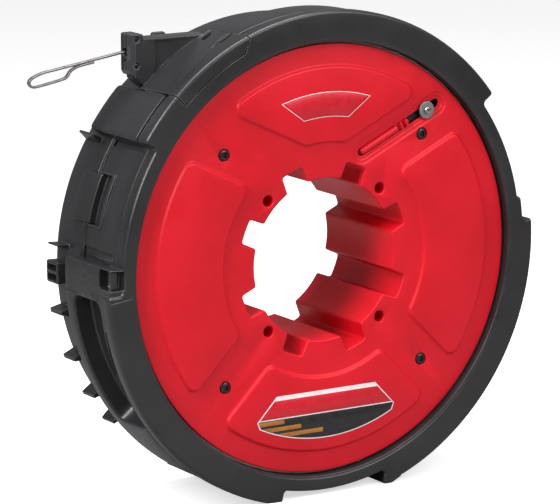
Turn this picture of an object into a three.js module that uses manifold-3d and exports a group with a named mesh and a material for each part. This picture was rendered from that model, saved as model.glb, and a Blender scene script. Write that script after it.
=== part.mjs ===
// A drum of flat steel fish tape for a powered pulling tool.
// A red hub with two red flanges turns inside a black ring housing, and the tape leaves through a
// nozzle on the ring's upper left. Millimetres; the drum turns about Y, its front looks along -Y
// and Z is up. All sizes are taken from the drum's axis and its flange's front face at y = 0.
import * as THREE from "three";
import { mergeVertices } from "three/addons/utils/BufferGeometryUtils.js";
import Module from "manifold-3d";

const wasm = await Module();
wasm.setup();

// ---- Driving sizes -------------------------------------------------------------------------
const DEPTH = 87; // hub length, from the front flange's face to the hub's rear end
const FRONT = -5.4; // the ring's front edge, proud of the flange
const BACK = 88; // the ring's rear edge
const SEAM = 52; // where the front and rear shells meet
const BEAD_R = 175; // outside of the bead round the ring's front edge
const BEAD_BACK = 5;
const SIDE_R = 173.6; // outside of the thick stretches
const THIN_R = 164.5; // outside of the thin stretches
const WALL = 3;
const LIP_R = 153.5; // inner edge of the ring's front and rear lips
const FLANGE_R = 151.6;
const FLANGE_T = 3.2;
const BORE_R = 57.5; // hub bore between the keyways
const KEYWAY_R = 69.5; // floor of the eight keyways
const KEYWAY_HALF = 8.8;
const KEYWAYS = 8;
const HUB_WALL = 3.5;
const SCREW_CIRCLE = 115;
const FOOT_Z = -167.5; // level of the two corners that the drum stands on
const GAP = 0.3; // between pieces that touch
const RUN = 0.5; // between pieces that slide or turn
const ARC_STEP = 6; // degrees between the points of a long arc; they all lie on multiples of it

// Stretches of the ring, as [radius, first angle, last angle], rising from 4 degrees
const TOP_LOBE = [37, 146.5];
const LEFT_LOBE = [182, 257.5];
const RIGHT_LOBE = [286.6, 364];
const PLATE_START = 176; // the left lobe starts higher behind its corner pocket
const PANEL_START = 134.3; // a raised panel ends the top lobe
const COVER_START = 113; // the exit cover fills the top lobe from here to the raised panel
const LEDGE_R = 167.3;
const LEDGE_END = 10;

// Depths of the ring's steps
const POCKET_BACK = 25;
const STEP_BACK = 38;
const PLATE_BACK = 60;
const PANEL_BACK = 74;
const COVER_BACK = 46;

// Anchor slot in the front flange: a line 25.4 degrees up, 52 mm from the axis
const SLOT_TILT = 25.4;
const SLOT_OFF = 52;
const SLOT = [57, 131.2];
const SLOT_HALF = 3;
const WASHER_AT = 118.9;

// Tape and its nozzle
const TAPE_W = 3;
const TAPE_T = 1.5;
const TAPE_Z = 149.6;
const NOZZLE_X = -128.7;

const COLOURS = {
  black: { color: 0x2b2c2e, roughness: 0.55, metalness: 0 },
  red: { color: 0xc21f2d, roughness: 0.45, metalness: 0 },
  steel: { color: 0x9a948e, roughness: 0.35, metalness: 1 },
  zinc: { color: 0x8b8b86, roughness: 0.4, metalness: 1 },
  screw: { color: 0x26282a, roughness: 0.4, metalness: 1 },
  acetal: { color: 0xd9d6cc, roughness: 0.5, metalness: 0 },
  brass: { color: 0x9c7a3c, roughness: 0.4, metalness: 1 },
  label: { color: 0xb01522, roughness: 0.4, metalness: 0 },
  warning: { color: 0x141414, roughness: 0.4, metalness: 0 },
};

// ---- Outlines, as points (x, z) seen from the front -------------------------------------------
const rad = THREE.MathUtils.degToRad;
const deg = THREE.MathUtils.radToDeg;

function polar(r, angle) {
  return new THREE.Vector2(r * Math.cos(rad(angle)), r * Math.sin(rad(angle)));
}

// Its inner points lie on whole multiples of the step, so that arcs at different depths share facets
function arc(r, from, to, step = ARC_STEP) {
  const [low, high] = [Math.min(from, to), Math.max(from, to)];
  const angles = [low];
  for (let angle = Math.ceil((low + step / 5) / step) * step; angle < high - step / 5; angle += step) {
    angles.push(angle);
  }
  angles.push(high);
  if (from > to) angles.reverse();
  return angles.map((angle) => polar(r, angle));
}

function circle(r, step = ARC_STEP) {
  return arc(r, 0, 360, step).slice(0, -1);
}

// A closed outline from stretches [radius, start, end], with rounded steps where the radius changes
function steppedOutline(stretches, rounding = 3) {
  const points = [];
  stretches.forEach(([r, start, end], i) => {
    const [next] = stretches[(i + 1) % stretches.length];
    const [last] = stretches.at(i - 1);
    const after = Math.min(rounding, Math.abs(next - r) / 2) * Math.sign(next - r);
    const before = Math.min(rounding, Math.abs(last - r) / 2);
    points.push(...arc(r, start + deg(before / r), end - deg(Math.abs(after) / r)));
    if (after === 0) return;
    const turn = deg(Math.abs(after) / r);
    points.push(polar(r + after * 0.3, end - turn * 0.3), polar(r + after, end));
    if (Math.abs(next - r) > 2 * Math.abs(after)) points.push(polar(next - after, end));
    points.push(polar(next - after * 0.3, end + turn * 0.3));
  });
  return points;
}

// ---- Solids ------------------------------------------------------------------------------------
function solid(geometry) {
  geometry.deleteAttribute("normal");
  geometry.deleteAttribute("uv");
  const merged = mergeVertices(geometry, 1e-4);
  const corners = Uint32Array.from(merged.index.array);
  const build = () =>
    new wasm.Manifold(
      new wasm.Mesh({ numProp: 3, vertProperties: merged.attributes.position.array, triVerts: corners }),
    );
  const made = build();
  if (made.volume() > 0) return made;
  for (let i = 0; i < corners.length; i += 3) {
    [corners[i], corners[i + 1]] = [corners[i + 1], corners[i]];
  }
  return build();
}

// An outline made into a plate between two depths
function plate(outline, front, back, holes = []) {
  const shape = new THREE.Shape(outline);
  shape.holes = holes.map((hole) => new THREE.Path(hole));
  const geometry = new THREE.ExtrudeGeometry(shape, { depth: back - front, bevelEnabled: false });
  const upright = new THREE.Matrix4().set(1, 0, 0, 0, 0, 0, -1, back, 0, 1, 0, 0, 0, 0, 0, 1);
  return solid(geometry.applyMatrix4(upright));
}

// A closed profile of (radius, y) turned about the drum's axis
function turned(profile, segments = 360 / ARC_STEP) {
  const points = [...profile, profile[0]].map(([r, y]) => new THREE.Vector2(r, y));
  return solid(new THREE.LatheGeometry(points, segments));
}

function ring(inner, outer, front, back, segments) {
  return turned([[inner, front], [outer, front], [outer, back], [inner, back]], segments);
}

function sector(inner, outer, from, to, front, back) {
  return plate([...arc(inner, from, to), ...arc(outer, to, from)], front, back);
}

function box(x, y, z) {
  const geometry = new THREE.BoxGeometry(x[1] - x[0], y[1] - y[0], z[1] - z[0]);
  geometry.translate((x[0] + x[1]) / 2, (y[0] + y[1]) / 2, (z[0] + z[1]) / 2);
  return solid(geometry);
}

// A pin along the drum's axis direction
function pin(x, z, r, front, back, sides = 12) {
  const geometry = new THREE.CylinderGeometry(r, r, back - front, sides);
  geometry.translate(x, (front + back) / 2, z);
  return solid(geometry);
}

function union(solids) {
  return solids.reduce((all, one) => all.add(one));
}

function cut(body, solids) {
  return solids.reduce((left, one) => left.subtract(one), body);
}

// Points either side of a line of centre points, as the closed outline of a strip
function stripOutline(path, thickness) {
  const sides = [1, -1].map((side) =>
    path.map((p, i) => {
      const ahead = path[Math.min(i + 1, path.length - 1)];
      const behind = path[Math.max(i - 1, 0)];
      const along = ahead.clone().sub(behind).normalize();
      return new THREE.Vector2(p.x - (side * along.y * thickness) / 2, p.y + (side * along.x * thickness) / 2);
    }),
  );
  return [...sides[0], ...sides[1].reverse()];
}

// Turns a solid made along the slot, with x along it and z across it, into place
function alongSlot(body) {
  return body.translate([0, 0, SLOT_OFF]).rotate([0, -SLOT_TILT, 0]);
}

function slotOutline(from, to, half) {
  const ends = [[to, -90, 90], [from, 90, 270]];
  return ends.flatMap(([at, first, last]) =>
    arc(half, first, last, 30).map((p) => new THREE.Vector2(p.x + (at === to ? to - half : from + half), p.y)),
  );
}

// ---- The scene graph ---------------------------------------------------------------------------
const part = new THREE.Group();
const drumFrame = new THREE.Group();
part.add(drumFrame);

function addMesh(name, body, colour) {
  const mesh = body.getMesh();
  const geometry = new THREE.BufferGeometry();
  geometry.setAttribute("position", new THREE.BufferAttribute(mesh.vertProperties, 3));
  geometry.setIndex(new THREE.BufferAttribute(mesh.triVerts, 1));
  geometry.computeVertexNormals();
  const object = new THREE.Mesh(geometry, new THREE.MeshStandardMaterial(COLOURS[colour]));
  object.name = name;
  drumFrame.add(object);
}

// ---- Housing shells ----------------------------------------------------------------------------
// Stretches of the ring at one depth: thick where a lobe is, thin elsewhere. inset draws the inside.
function ringStretches({ thick, leftStart, topLobe = TOP_LOBE, ledge = true, inset = 0 }) {
  const turn = deg(inset / THIN_R);
  const thin = THIN_R - inset;
  const high = thick - inset;
  const ledgeEnd = ledge ? [[LEDGE_R - inset, RIGHT_LOBE[1] - 360 - turn, LEDGE_END - turn]] : [];
  return [
    ...ledgeEnd,
    [thin, (ledge ? LEDGE_END : RIGHT_LOBE[1] - 360) - turn, topLobe[0] + turn],
    [high, topLobe[0] + turn, topLobe[1] - turn],
    [thin, topLobe[1] - turn, leftStart + turn],
    [high, leftStart + turn, LEFT_LOBE[1] - turn],
    [thin, LEFT_LOBE[1] - turn, RIGHT_LOBE[0] + turn],
    [high, RIGHT_LOBE[0] + turn, RIGHT_LOBE[1] - turn],
  ];
}

function shellSlice(front, back, options) {
  const outer = plate(steppedOutline(ringStretches(options)), front, back);
  const inner = plate(steppedOutline(ringStretches({ ...options, inset: WALL })), front - 1, back + 1);
  return outer.subtract(inner);
}

// The foot on each lower corner: a flat that both corners share
function footBlock(front, back) {
  const low = FOOT_Z;
  const left = [[-50.5, low], [-38.5, low], [-37, -164], [-37, -161], [-50.5, -161]];
  const right = [[47.2, -161], [47.2, -166], [48.4, low], [54.2, low], [62, -163.6], [62, -160], [55, -158]];
  return [left, right].map((points) => plate(points.map(([x, z]) => new THREE.Vector2(x, z)), front, back));
}

function aboveFloor(body) {
  return body.subtract(box([-200, 200], [-20, 120], [-220, FOOT_Z]));
}

const HAND_SLOT = { from: 184.2, to: 218, front: 12, back: 49, floor: 160, wall: 2 };
const TAPE_PASSAGE = box([-92, -30], [SEAM - 2.6, SEAM + 2.6], [TAPE_Z - 2.2, TAPE_Z + 1.6]);

const CLIPS = { left: 161.6, right: 21.5, bottom: 271.5 };
const CLIP_HALF = 6.2; // degrees
const CLIP_WINDOW = [31, 47];

const SHELL_SCREWS = { upper_right: 55, upper_left: 152, lower_left: 232, lower_right: 322 };
const SHELL_SCREW_R = 158.8;

function frontShell() {
  const thickSide = { thick: SIDE_R, leftStart: PLATE_START };
  const pocketSide = { thick: SIDE_R, leftStart: LEFT_LOBE[0] };
  const shortTop = { ...thickSide, topLobe: [PANEL_START, TOP_LOBE[1]] };
  const face = plate(
    steppedOutline(ringStretches({ ...pocketSide, thick: BEAD_R })),
    FRONT,
    FRONT + WALL,
    [circle(LIP_R)],
  );
  const cap = (from, to, back) => sector(THIN_R + RUN, SIDE_R, from, to, SEAM - 1, back);
  const shelf = (from, to, front) => sector(THIN_R - WALL, SIDE_R - 1, from, to, front, front + WALL);
  const { from, to, front, back, floor, wall } = HAND_SLOT;
  const edge = deg(wall / floor);
  let shell = union([
    face,
    shellSlice(FRONT + WALL, BEAD_BACK, { ...pocketSide, thick: BEAD_R }),
    shellSlice(BEAD_BACK, POCKET_BACK, pocketSide),
    shellSlice(POCKET_BACK, STEP_BACK, thickSide),
    shellSlice(STEP_BACK, SEAM, shortTop),
    ring(LIP_R, LIP_R + 2.5, FRONT, 9),
    shelf(TOP_LOBE[0], PANEL_START + 1, STEP_BACK - WALL),
    shelf(PLATE_START, LEFT_LOBE[0] + 1, POCKET_BACK - 0.5),
    cap(PANEL_START, TOP_LOBE[1], PANEL_BACK),
    cap(PLATE_START, LEFT_LOBE[1], PLATE_BACK),
    cap(RIGHT_LOBE[0], RIGHT_LOBE[1], SEAM + 0.5),
    ...footBlock(FRONT + 0.5, SEAM),
    sector(floor - wall, SIDE_R - 1, from - edge, to + edge, front - wall, back + wall),
    ...Object.values(SHELL_SCREWS).map((angle) => boss(angle, 18, STEP_BACK, bossReach(angle))),
    ...Object.values(SHELL_SCREWS).map((angle) => boss(angle, STEP_BACK - 1, SEAM, THIN_R - 1)),
  ]);
  shell = cut(shell, [
    sector(floor, BEAD_R + 4, from, to, front, back),
    sector(THIN_R - 1 + GAP, BEAD_R + 4, COVER_START - 0.1, PANEL_START, FRONT - 1, COVER_BACK + GAP),
    TAPE_PASSAGE,
    ...Object.values(CLIPS).map((angle) =>
      sector(THIN_R - WALL - 2, THIN_R + 3, angle - CLIP_HALF, angle + CLIP_HALF, ...CLIP_WINDOW),
    ),
    ...Object.values(SHELL_SCREWS).map((angle) => screwHole(angle, 22, SEAM + 1, 1.5)),
  ]);
  return aboveFloor(shell);
}

// A screw boss and the web that joins it to the outer wall
function boss(angle, front, back, outer) {
  const at = polar(SHELL_SCREW_R, angle);
  return pin(at.x, at.y, 3.2, front, back).add(sector(SHELL_SCREW_R, outer, angle - 0.4, angle + 0.4, front, back));
}

// How far out the ring's wall is beside a boss, on a lobe or between lobes
function bossReach(angle) {
  const onLobe = [TOP_LOBE, LEFT_LOBE, RIGHT_LOBE].some(([from, to]) => angle > from && angle < to);
  return (onLobe ? SIDE_R : THIN_R) - 1;
}

function screwHole(angle, front, back, r) {
  const at = polar(SHELL_SCREW_R, angle);
  return pin(at.x, at.y, r, front, back, 8);
}

// Ribs on the rear shell's rim, as [first angle, last angle, front, back]; each is a low saw tooth
const RIM_TEETH = [
  [93.2, 95.2, 66, 84], [134.6, 137.4, 66, 84], [147.2, 149, 66, 84], [174, 175.6, 70, 84],
  [190, 194.6, 66, 86], [202, 206, 66, 86], [213, 216.2, 66, 86], [221.6, 224.6, 66, 86],
];
const RIM_TAB = [178, 184.6, 70, 86];

function rearShell() {
  const wall = ring(THIN_R - WALL, THIN_R, SEAM + GAP, BACK);
  const back = ring(LIP_R, THIN_R, BACK - WALL, BACK);
  const lip = ring(LIP_R, LIP_R + 2.5, DEPTH - 9, BACK);
  const teeth = RIM_TEETH.map(([from, to, front, rear]) => {
    const low = THIN_R - 1;
    return plate([polar(low, from), polar(SIDE_R, to - 0.6), polar(SIDE_R, to), polar(low, to)], front, rear);
  });
  const feet = footBlock(PLATE_BACK + RUN, BACK);
  const corners = [[243, LEFT_LOBE[1]], [RIGHT_LOBE[0], 301]].map(([from, to]) =>
    sector(THIN_R - 1, SIDE_R, from, to, PLATE_BACK + RUN, BACK),
  );
  const tab = sector(THIN_R - 1, SIDE_R, ...RIM_TAB);
  const shell = union([
    wall, back, lip, tab, ...teeth, ...feet, ...corners,
    ...Object.values(SHELL_SCREWS).map((angle) => boss(angle, SEAM + GAP, BACK - 1, THIN_R - 1)),
  ]);
  const cleared = cut(shell, [
    TAPE_PASSAGE,
    sector(THIN_R + 0.2, BEAD_R, PANEL_START - 1, TOP_LOBE[1] + 1, SEAM - 1, PANEL_BACK + RUN),
    ...Object.values(SHELL_SCREWS).flatMap((angle) => [
      screwHole(angle, SEAM - 1, BACK + 1, 1.6),
      screwHole(angle, BACK - 3, BACK + 1, 2.9),
    ]),
  ]);
  return aboveFloor(cleared);
}

// ---- Tape exit ---------------------------------------------------------------------------------
// The funnel's outline: along the top to the nozzle block, down its face and back under to the ring
const FUNNEL_TOP = 158.5;
const BLOCK_TOP = 162.2;
const BLOCK_BACK_X = -118.7;
const BLOCK_FOOT = 136.5;
const FUNNEL_FOOT = [-119.6, 127.2];

function funnelOutline(inset, innerR) {
  const points = [
    [-69.5 - inset, FUNNEL_TOP - inset], [BLOCK_BACK_X, FUNNEL_TOP - inset],
    [BLOCK_BACK_X, BLOCK_TOP - inset], [NOZZLE_X + inset, BLOCK_TOP - inset],
    [NOZZLE_X + inset, BLOCK_FOOT + inset / 2], [FUNNEL_FOOT[0] + inset / 2, FUNNEL_FOOT[1] + inset],
  ].map(([x, z]) => new THREE.Vector2(x, z));
  return [...points, ...arc(innerR, 132.6, 114.4)];
}

function hollowOutline() {
  const wallX = BLOCK_BACK_X + 2;
  const points = [[-71.5, FUNNEL_TOP - 2], [wallX, FUNNEL_TOP - 2], [wallX, 132]];
  return [...points.map(([x, z]) => new THREE.Vector2(x, z)), ...arc(THIN_R + GAP - 1, 131.2, 115.6)];
}

const GUIDE = { half: 4.5, hole: 2.6, back: -118.2 };
const NOZZLE_SCREWS = { upper: 158.4, lower: 140.4 };
const NOZZLE_SCREW_X = -123.6;
const NOZZLE_HALF = 8; // the nozzle's half thickness, either side of the seam

function guideSeat() {
  const { half, back } = GUIDE;
  return box(
    [NOZZLE_X + 0.8, back + GAP],
    [SEAM - half - GAP, SEAM + half + GAP],
    [TAPE_Z - half - GAP, TAPE_Z + half + GAP],
  );
}

function guideHole(extra) {
  const { hole } = GUIDE;
  return box(
    [NOZZLE_X - 1, BLOCK_BACK_X + 3],
    [SEAM - hole - extra, SEAM + hole + extra],
    [TAPE_Z - hole - extra, TAPE_Z + hole + extra],
  );
}

function exitCover() {
  const arcWall = sector(SIDE_R - WALL, SIDE_R, COVER_START + 0.2, PANEL_START - 0.3, FRONT, COVER_BACK);
  const bead = sector(SIDE_R - WALL, BEAD_R, COVER_START + 0.2, PANEL_START - 0.3, FRONT, BEAD_BACK);
  const face = sector(THIN_R, BEAD_R, COVER_START + 0.2, PANEL_START - 0.3, FRONT, FRONT + WALL);
  const funnel = plate(funnelOutline(0, SIDE_R - WALL + 0.5), SEAM - NOZZLE_HALF, SEAM - GAP / 2);
  const slots = [[112.4, 115.6, 29, 43], [112.8, 117.2, 8, 17]].map(([from, to, front, back]) =>
    sector(SIDE_R - WALL - 1, SIDE_R + 1, from + 1.2, to, front, back),
  );
  return cut(union([arcWall, bead, face, funnel]), [
    plate(hollowOutline(), SEAM - NOZZLE_HALF + 2, SEAM + 1),
    guideSeat(),
    guideHole(0.4),
    TAPE_PASSAGE,
    ...nozzleScrewHoles(),
    ...slots,
  ]);
}

function nozzleScrewHoles() {
  return Object.values(NOZZLE_SCREWS).flatMap((z) => [
    pin(NOZZLE_SCREW_X, z, 1.5, SEAM - 12, SEAM + 5, 8),
    pin(NOZZLE_SCREW_X, z, 2.5, SEAM - 12, SEAM - NOZZLE_HALF + 1.5, 10),
  ]);
}

function nozzleRear() {
  const funnel = plate(funnelOutline(0, THIN_R + GAP), SEAM + GAP / 2, SEAM + NOZZLE_HALF);
  const rib = box([-104, -93], [SEAM + NOZZLE_HALF - 3, SEAM + NOZZLE_HALF], [FUNNEL_TOP - 1, FUNNEL_TOP + 2]);
  return cut(union([funnel, rib]), [
    plate(hollowOutline(), SEAM - 1, SEAM + NOZZLE_HALF - 2),
    guideSeat(),
    guideHole(0.4),
    TAPE_PASSAGE,
    ...nozzleScrewHoles(),
  ]);
}

function tapeGuide() {
  const { half, hole, back } = GUIDE;
  const block = box([NOZZLE_X + 0.8 + GAP, back], [SEAM - half, SEAM + half], [TAPE_Z - half, TAPE_Z + half]);
  return block.subtract(box([NOZZLE_X - 1, back + 1], [SEAM - hole, SEAM + hole], [TAPE_Z - hole, TAPE_Z + hole]));
}

function nozzleScrew(z) {
  const front = SEAM - NOZZLE_HALF + 0.1;
  const head = pin(NOZZLE_SCREW_X, z, 2.1, front, front + 1.2, 10);
  return head.add(pin(NOZZLE_SCREW_X, z, 1.2, front + 1, SEAM + 4.5, 8));
}

// ---- Clips and shell screws --------------------------------------------------------------------
function snapClip(angle) {
  const from = angle - CLIP_HALF + 0.25;
  const to = angle + CLIP_HALF - 0.25;
  const [, windowBack] = CLIP_WINDOW;
  const foot = windowBack - GAP;
  return union([
    sector(THIN_R + GAP, THIN_R + 2, from, to, foot - 2.4, 69),
    sector(THIN_R - WALL - 2, THIN_R + 1, from, to, foot - 2.4, foot),
    sector(THIN_R - WALL - 2, THIN_R - WALL - GAP, from, to, foot - 1, SEAM - 1),
  ]);
}

function shellScrew(angle) {
  const at = polar(SHELL_SCREW_R, angle);
  return pin(at.x, at.y, 2.5, BACK - 2.6, BACK - 0.4, 12).add(pin(at.x, at.y, 1.2, 28, BACK - 2, 8));
}

// ---- Drum --------------------------------------------------------------------------------------
// The hub's section: lobes at 0, 45, 90 degrees and so on, with a keyway between each two.
// grow pushes the outline out, for the outside of the hub's wall.
function hubOutline(grow) {
  const lobeR = BORE_R + grow;
  const floorR = KEYWAY_R + grow;
  const half = KEYWAY_HALF + grow;
  const pitch = 360 / KEYWAYS;
  const atLobe = deg(Math.asin(half / lobeR));
  const atFloor = deg(Math.asin(half / floorR));
  const round = 1.2;
  return Array.from({ length: KEYWAYS }, (_, i) => {
    const keyway = pitch * (i + 0.5);
    return [
      ...arc(lobeR, keyway - pitch + atLobe + round, keyway - atLobe - round, 10),
      polar(lobeR + 1, keyway - atLobe),
      polar(floorR - 1, keyway - atFloor),
      ...arc(floorR, keyway - atFloor + round, keyway + atFloor - round, 12),
      polar(floorR - 1, keyway + atFloor),
      polar(lobeR + 1, keyway + atLobe),
    ];
  }).flat();
}

// Raised panels on the front flange. Two straight sides of each run beside the spokes between them.
const PANEL = { inner: 83, outer: 136, proud: 2.2, spokeHalf: 16.7, topOff: 66.8, sideOff: 25.5 };

function halfPlane(tilt, offset) {
  const big = 400;
  return box([-big, big], [-big, big], [offset, offset + big]).rotate([0, -tilt, 0]);
}

function raisedPanels() {
  const { inner, outer, proud, spokeHalf, topOff, sideOff } = PANEL;
  const band = () => ring(inner, outer, -proud, 1);
  const top = band().intersect(halfPlane(SLOT_TILT, topOff)).intersect(halfPlane(-SLOT_TILT, topOff));
  const right = band()
    .subtract(halfPlane(SLOT_TILT, sideOff))
    .intersect(halfPlane(-45, spokeHalf));
  const left = band()
    .subtract(halfPlane(-SLOT_TILT, sideOff))
    .intersect(halfPlane(45, spokeHalf));
  const bottom = band().intersect(halfPlane(180 + 45, spokeHalf)).intersect(halfPlane(180 - 45, spokeHalf));
  return [top, right, left, bottom];
}

const FACE_SCREWS = [45, 135, 225, 315];
const HUB_HOLE = { circle: 65, r: 4.1, depth: 24 };
const JOURNAL = [144.5, 147.4];
const CORE = [126.6, 130.2];

function drumFront() {
  const flange = plate(circle(FLANGE_R), 0, FLANGE_T, [hubOutline(0)]);
  const hub = plate(hubOutline(HUB_WALL), 0.5, DEPTH, [hubOutline(0)]);
  const collar = plate(circle(KEYWAY_R + HUB_WALL + 3), DEPTH - FLANGE_T, DEPTH, [hubOutline(0)]);
  const journal = ring(...JOURNAL, FLANGE_T - 0.5, 9);
  const bosses = FACE_SCREWS.map((angle) => {
    const at = polar(HUB_HOLE.circle, angle);
    return pin(at.x, at.y, HUB_HOLE.r + 2, 1, HUB_HOLE.depth + 2);
  });
  const holes = FACE_SCREWS.flatMap((angle) => {
    const hub = polar(HUB_HOLE.circle, angle);
    const face = polar(SCREW_CIRCLE, angle);
    return [
      pin(hub.x, hub.y, HUB_HOLE.r, -1, HUB_HOLE.depth, 16),
      pin(face.x, face.y, 2.6, -1, FLANGE_T + 1),
      pin(face.x, face.y, 4.4, -1, 1.4, 16),
    ];
  });
  const slot = alongSlot(plate(slotOutline(...SLOT, SLOT_HALF), -1, FLANGE_T + 1));
  const recess = alongSlot(plate(slotOutline(SLOT[0] - 4.6, SLOT[1] + 4.6, SLOT_HALF + 4.6), -1, 1));
  return cut(union([flange, ...raisedPanels(), hub, collar, journal, ...bosses]), [...holes, slot, recess]);
}

function drumRear() {
  const flange = ring(KEYWAY_R + HUB_WALL + 3 + GAP, FLANGE_R, DEPTH - FLANGE_T, DEPTH);
  const journal = ring(...JOURNAL, DEPTH - 9, DEPTH - FLANGE_T + 0.5);
  const rib = ring(100, 104, DEPTH - 1, DEPTH + 0.8);
  const posts = FACE_SCREWS.map((angle) => {
    const at = polar(SCREW_CIRCLE, angle);
    return pin(at.x, at.y, 5.5, FLANGE_T + GAP, DEPTH - 1);
  });
  const holes = FACE_SCREWS.map((angle) => {
    const at = polar(SCREW_CIRCLE, angle);
    return pin(at.x, at.y, 2.3, -1, 34);
  });
  return cut(union([flange, journal, rib, ...posts]), holes);
}

// A plain ring that the tape is wound on, clipped between the flanges; open where the anchor sits
function windingCore() {
  const core = ring(CORE[0], CORE[1], FLANGE_T + GAP, DEPTH - FLANGE_T - GAP);
  return core.subtract(alongSlot(box([WASHER_AT - 24, WASHER_AT + 26], [-1, 14], [-9, 9])));
}

const TURN_WIDTH = 3.05; // a turn of tape and the gap beside it
const TURN_HEIGHT = 1.5;
const PACK_TURNS = { wide: 15, deep: 3 };

function tapePack() {
  const half = (PACK_TURNS.wide * TURN_WIDTH) / 2;
  const inner = CORE[1] + GAP;
  return ring(inner, inner + PACK_TURNS.deep * TURN_HEIGHT, SEAM - half, SEAM + half);
}

function bearingRing(front) {
  return ring(JOURNAL[1] + RUN, LIP_R - GAP, front, front + 4.6);
}

function faceScrew(angle) {
  const at = polar(SCREW_CIRCLE, angle);
  const head = pin(at.x, at.y, 3.9, -0.6, 1.1, 16);
  return head.add(pin(at.x, at.y, 2, 1, 30, 10));
}

// ---- Labels ------------------------------------------------------------------------------------
const LABEL_FRONT = -(PANEL.proud + GAP + 0.4);
const LABEL_BACK = -(PANEL.proud + GAP);

function fanAngle(x, r) {
  return deg(Math.acos(x / r));
}

function topLabel() {
  const outer = arc(118.4, fanAngle(37.7, 118.4), fanAngle(-37.7, 118.4), 6);
  const inner = arc(100.8, fanAngle(-18.2, 100.8), fanAngle(18.2, 100.8), 6);
  return plate([...outer, ...inner], LABEL_FRONT, LABEL_BACK);
}

function bottomLabel() {
  const lower = arc(127, 360 - fanAngle(-55, 127), 360 - fanAngle(55, 127), 6);
  const upper = [[57, -109.5], [41, -92.5], [-41, -92.5], [-57, -109.5]];
  return plate([...lower, ...upper.map(([x, z]) => new THREE.Vector2(x, z))], LABEL_FRONT, LABEL_BACK);
}

// ---- Tape anchor -------------------------------------------------------------------------------
function anchorSlider() {
  const bar = plate(slotOutline(59, 100.8, SLOT_HALF - 0.4), -0.4, 4.2);
  const runner = box([66, 122.5], [4, 6.4], [-4, 4]);
  const ribs = [92, 96.5].map((s) => box([s, s + 1.6], [-1, 0.5], [-2.4, 2.4]));
  const shankHole = pin(WASHER_AT, 0, 1.8, 3, 8, 10);
  return alongSlot(union([bar, runner, ...ribs]).subtract(shankHole));
}

function anchorWasher() {
  return alongSlot(
    pin(WASHER_AT, 0, 6.1, -0.7, 0.7, 24).subtract(pin(WASHER_AT, 0, 1.8, -2, 2, 10)),
  );
}

function anchorScrew() {
  return alongSlot(pin(WASHER_AT, 0, 2.6, -2.6, -1, 12).add(pin(WASHER_AT, 0, 1.4, -1.2, 12, 8)));
}

function anchorClamp() {
  const body = box([WASHER_AT - 5, WASHER_AT + 5], [6.4 + GAP, 11.4], [-4, 4]);
  return alongSlot(body.subtract(pin(WASHER_AT, 0, 1.8, 5, 13, 10)));
}

// ---- Tape leader -------------------------------------------------------------------------------
// The strip runs level through the guide, droops outside it and turns back into a closed eye
const DROOP = 8.4;
const LEVEL_END = -130;

function drooping(x) {
  return new THREE.Vector2(x, TAPE_Z - (LEVEL_END - x) * Math.tan(rad(DROOP)));
}

function tapeLeader() {
  const inner = [new THREE.Vector2(-40, TAPE_Z), new THREE.Vector2(LEVEL_END, TAPE_Z)];
  const lead = [...inner, drooping(-152), drooping(-192)];
  const eye = [
    [-198.6, 138.5], [-201.8, 136.7], [-202.9, 134.3], [-201.6, 132], [-198.4, 131.2],
    [-187, 133], [-176.4, 134.9], [-174, 136.2], [-171.4, 140.4], [-168.6, 142],
  ].map(([x, z]) => new THREE.Vector2(x, z));
  const tail = [drooping(-166), drooping(-152)].map((p) => new THREE.Vector2(p.x, p.y - TAPE_T * 0.9));
  const front = SEAM - TAPE_W / 2;
  const whole = plate(stripOutline([...lead, ...eye], TAPE_T), front, front + TAPE_W);
  return whole.add(plate(stripOutline([eye.at(-1), ...tail], TAPE_T), front, front + TAPE_W));
}

// ---- Assembly ----------------------------------------------------------------------------------
addMesh("front_shell", frontShell(), "black");
addMesh("rear_shell", rearShell(), "black");
addMesh("exit_cover", exitCover(), "black");
addMesh("nozzle_rear_half", nozzleRear(), "black");
addMesh("tape_guide", tapeGuide(), "brass");
for (const [name, z] of Object.entries(NOZZLE_SCREWS)) addMesh(`nozzle_screw_${name}`, nozzleScrew(z), "screw");
for (const [name, angle] of Object.entries(CLIPS)) addMesh(`snap_clip_${name}`, snapClip(angle), "black");
for (const [name, angle] of Object.entries(SHELL_SCREWS)) {
  addMesh(`shell_screw_${name}`, shellScrew(angle), "screw");
}
addMesh("front_bearing_ring", bearingRing(FLANGE_T + 0.6), "acetal");
addMesh("rear_bearing_ring", bearingRing(DEPTH - FLANGE_T - 0.6 - 4.6), "acetal");
addMesh("drum_front", drumFront(), "red");
addMesh("drum_rear", drumRear(), "red");
addMesh("winding_core", windingCore(), "acetal");
addMesh("tape_pack", tapePack(), "steel");
FACE_SCREWS.forEach((angle, i) => addMesh(`flange_screw_${i + 1}`, faceScrew(angle), "screw"));
addMesh("top_label", topLabel(), "label");
addMesh("bottom_label", bottomLabel(), "warning");
addMesh("anchor_slider", anchorSlider(), "red");
addMesh("anchor_washer", anchorWasher(), "zinc");
addMesh("anchor_screw", anchorScrew(), "screw");
addMesh("anchor_clamp", anchorClamp(), "zinc");
addMesh("tape_leader", tapeLeader(), "steel");

// The origin goes to the middle of the whole object's base
part.updateMatrixWorld(true);
const bounds = new THREE.Box3().setFromObject(part, true);
const centre = bounds.getCenter(new THREE.Vector3());
drumFrame.position.set(-centre.x, -centre.y, -bounds.min.z);
part.updateMatrixWorld(true);

export default part;
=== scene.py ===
"""A drum of flat steel fish tape: a red keyed hub and flanges in a black ring housing.

Shapes are drawn in millimetres round the drum's own axis: x to the right, y from the front
flange's face to the back, z up. They are put in the row frame when a piece is finished.
"""

import math

import bpy
from mathutils import Matrix, Vector
from mathutils.geometry import delaunay_2d_cdt


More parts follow.
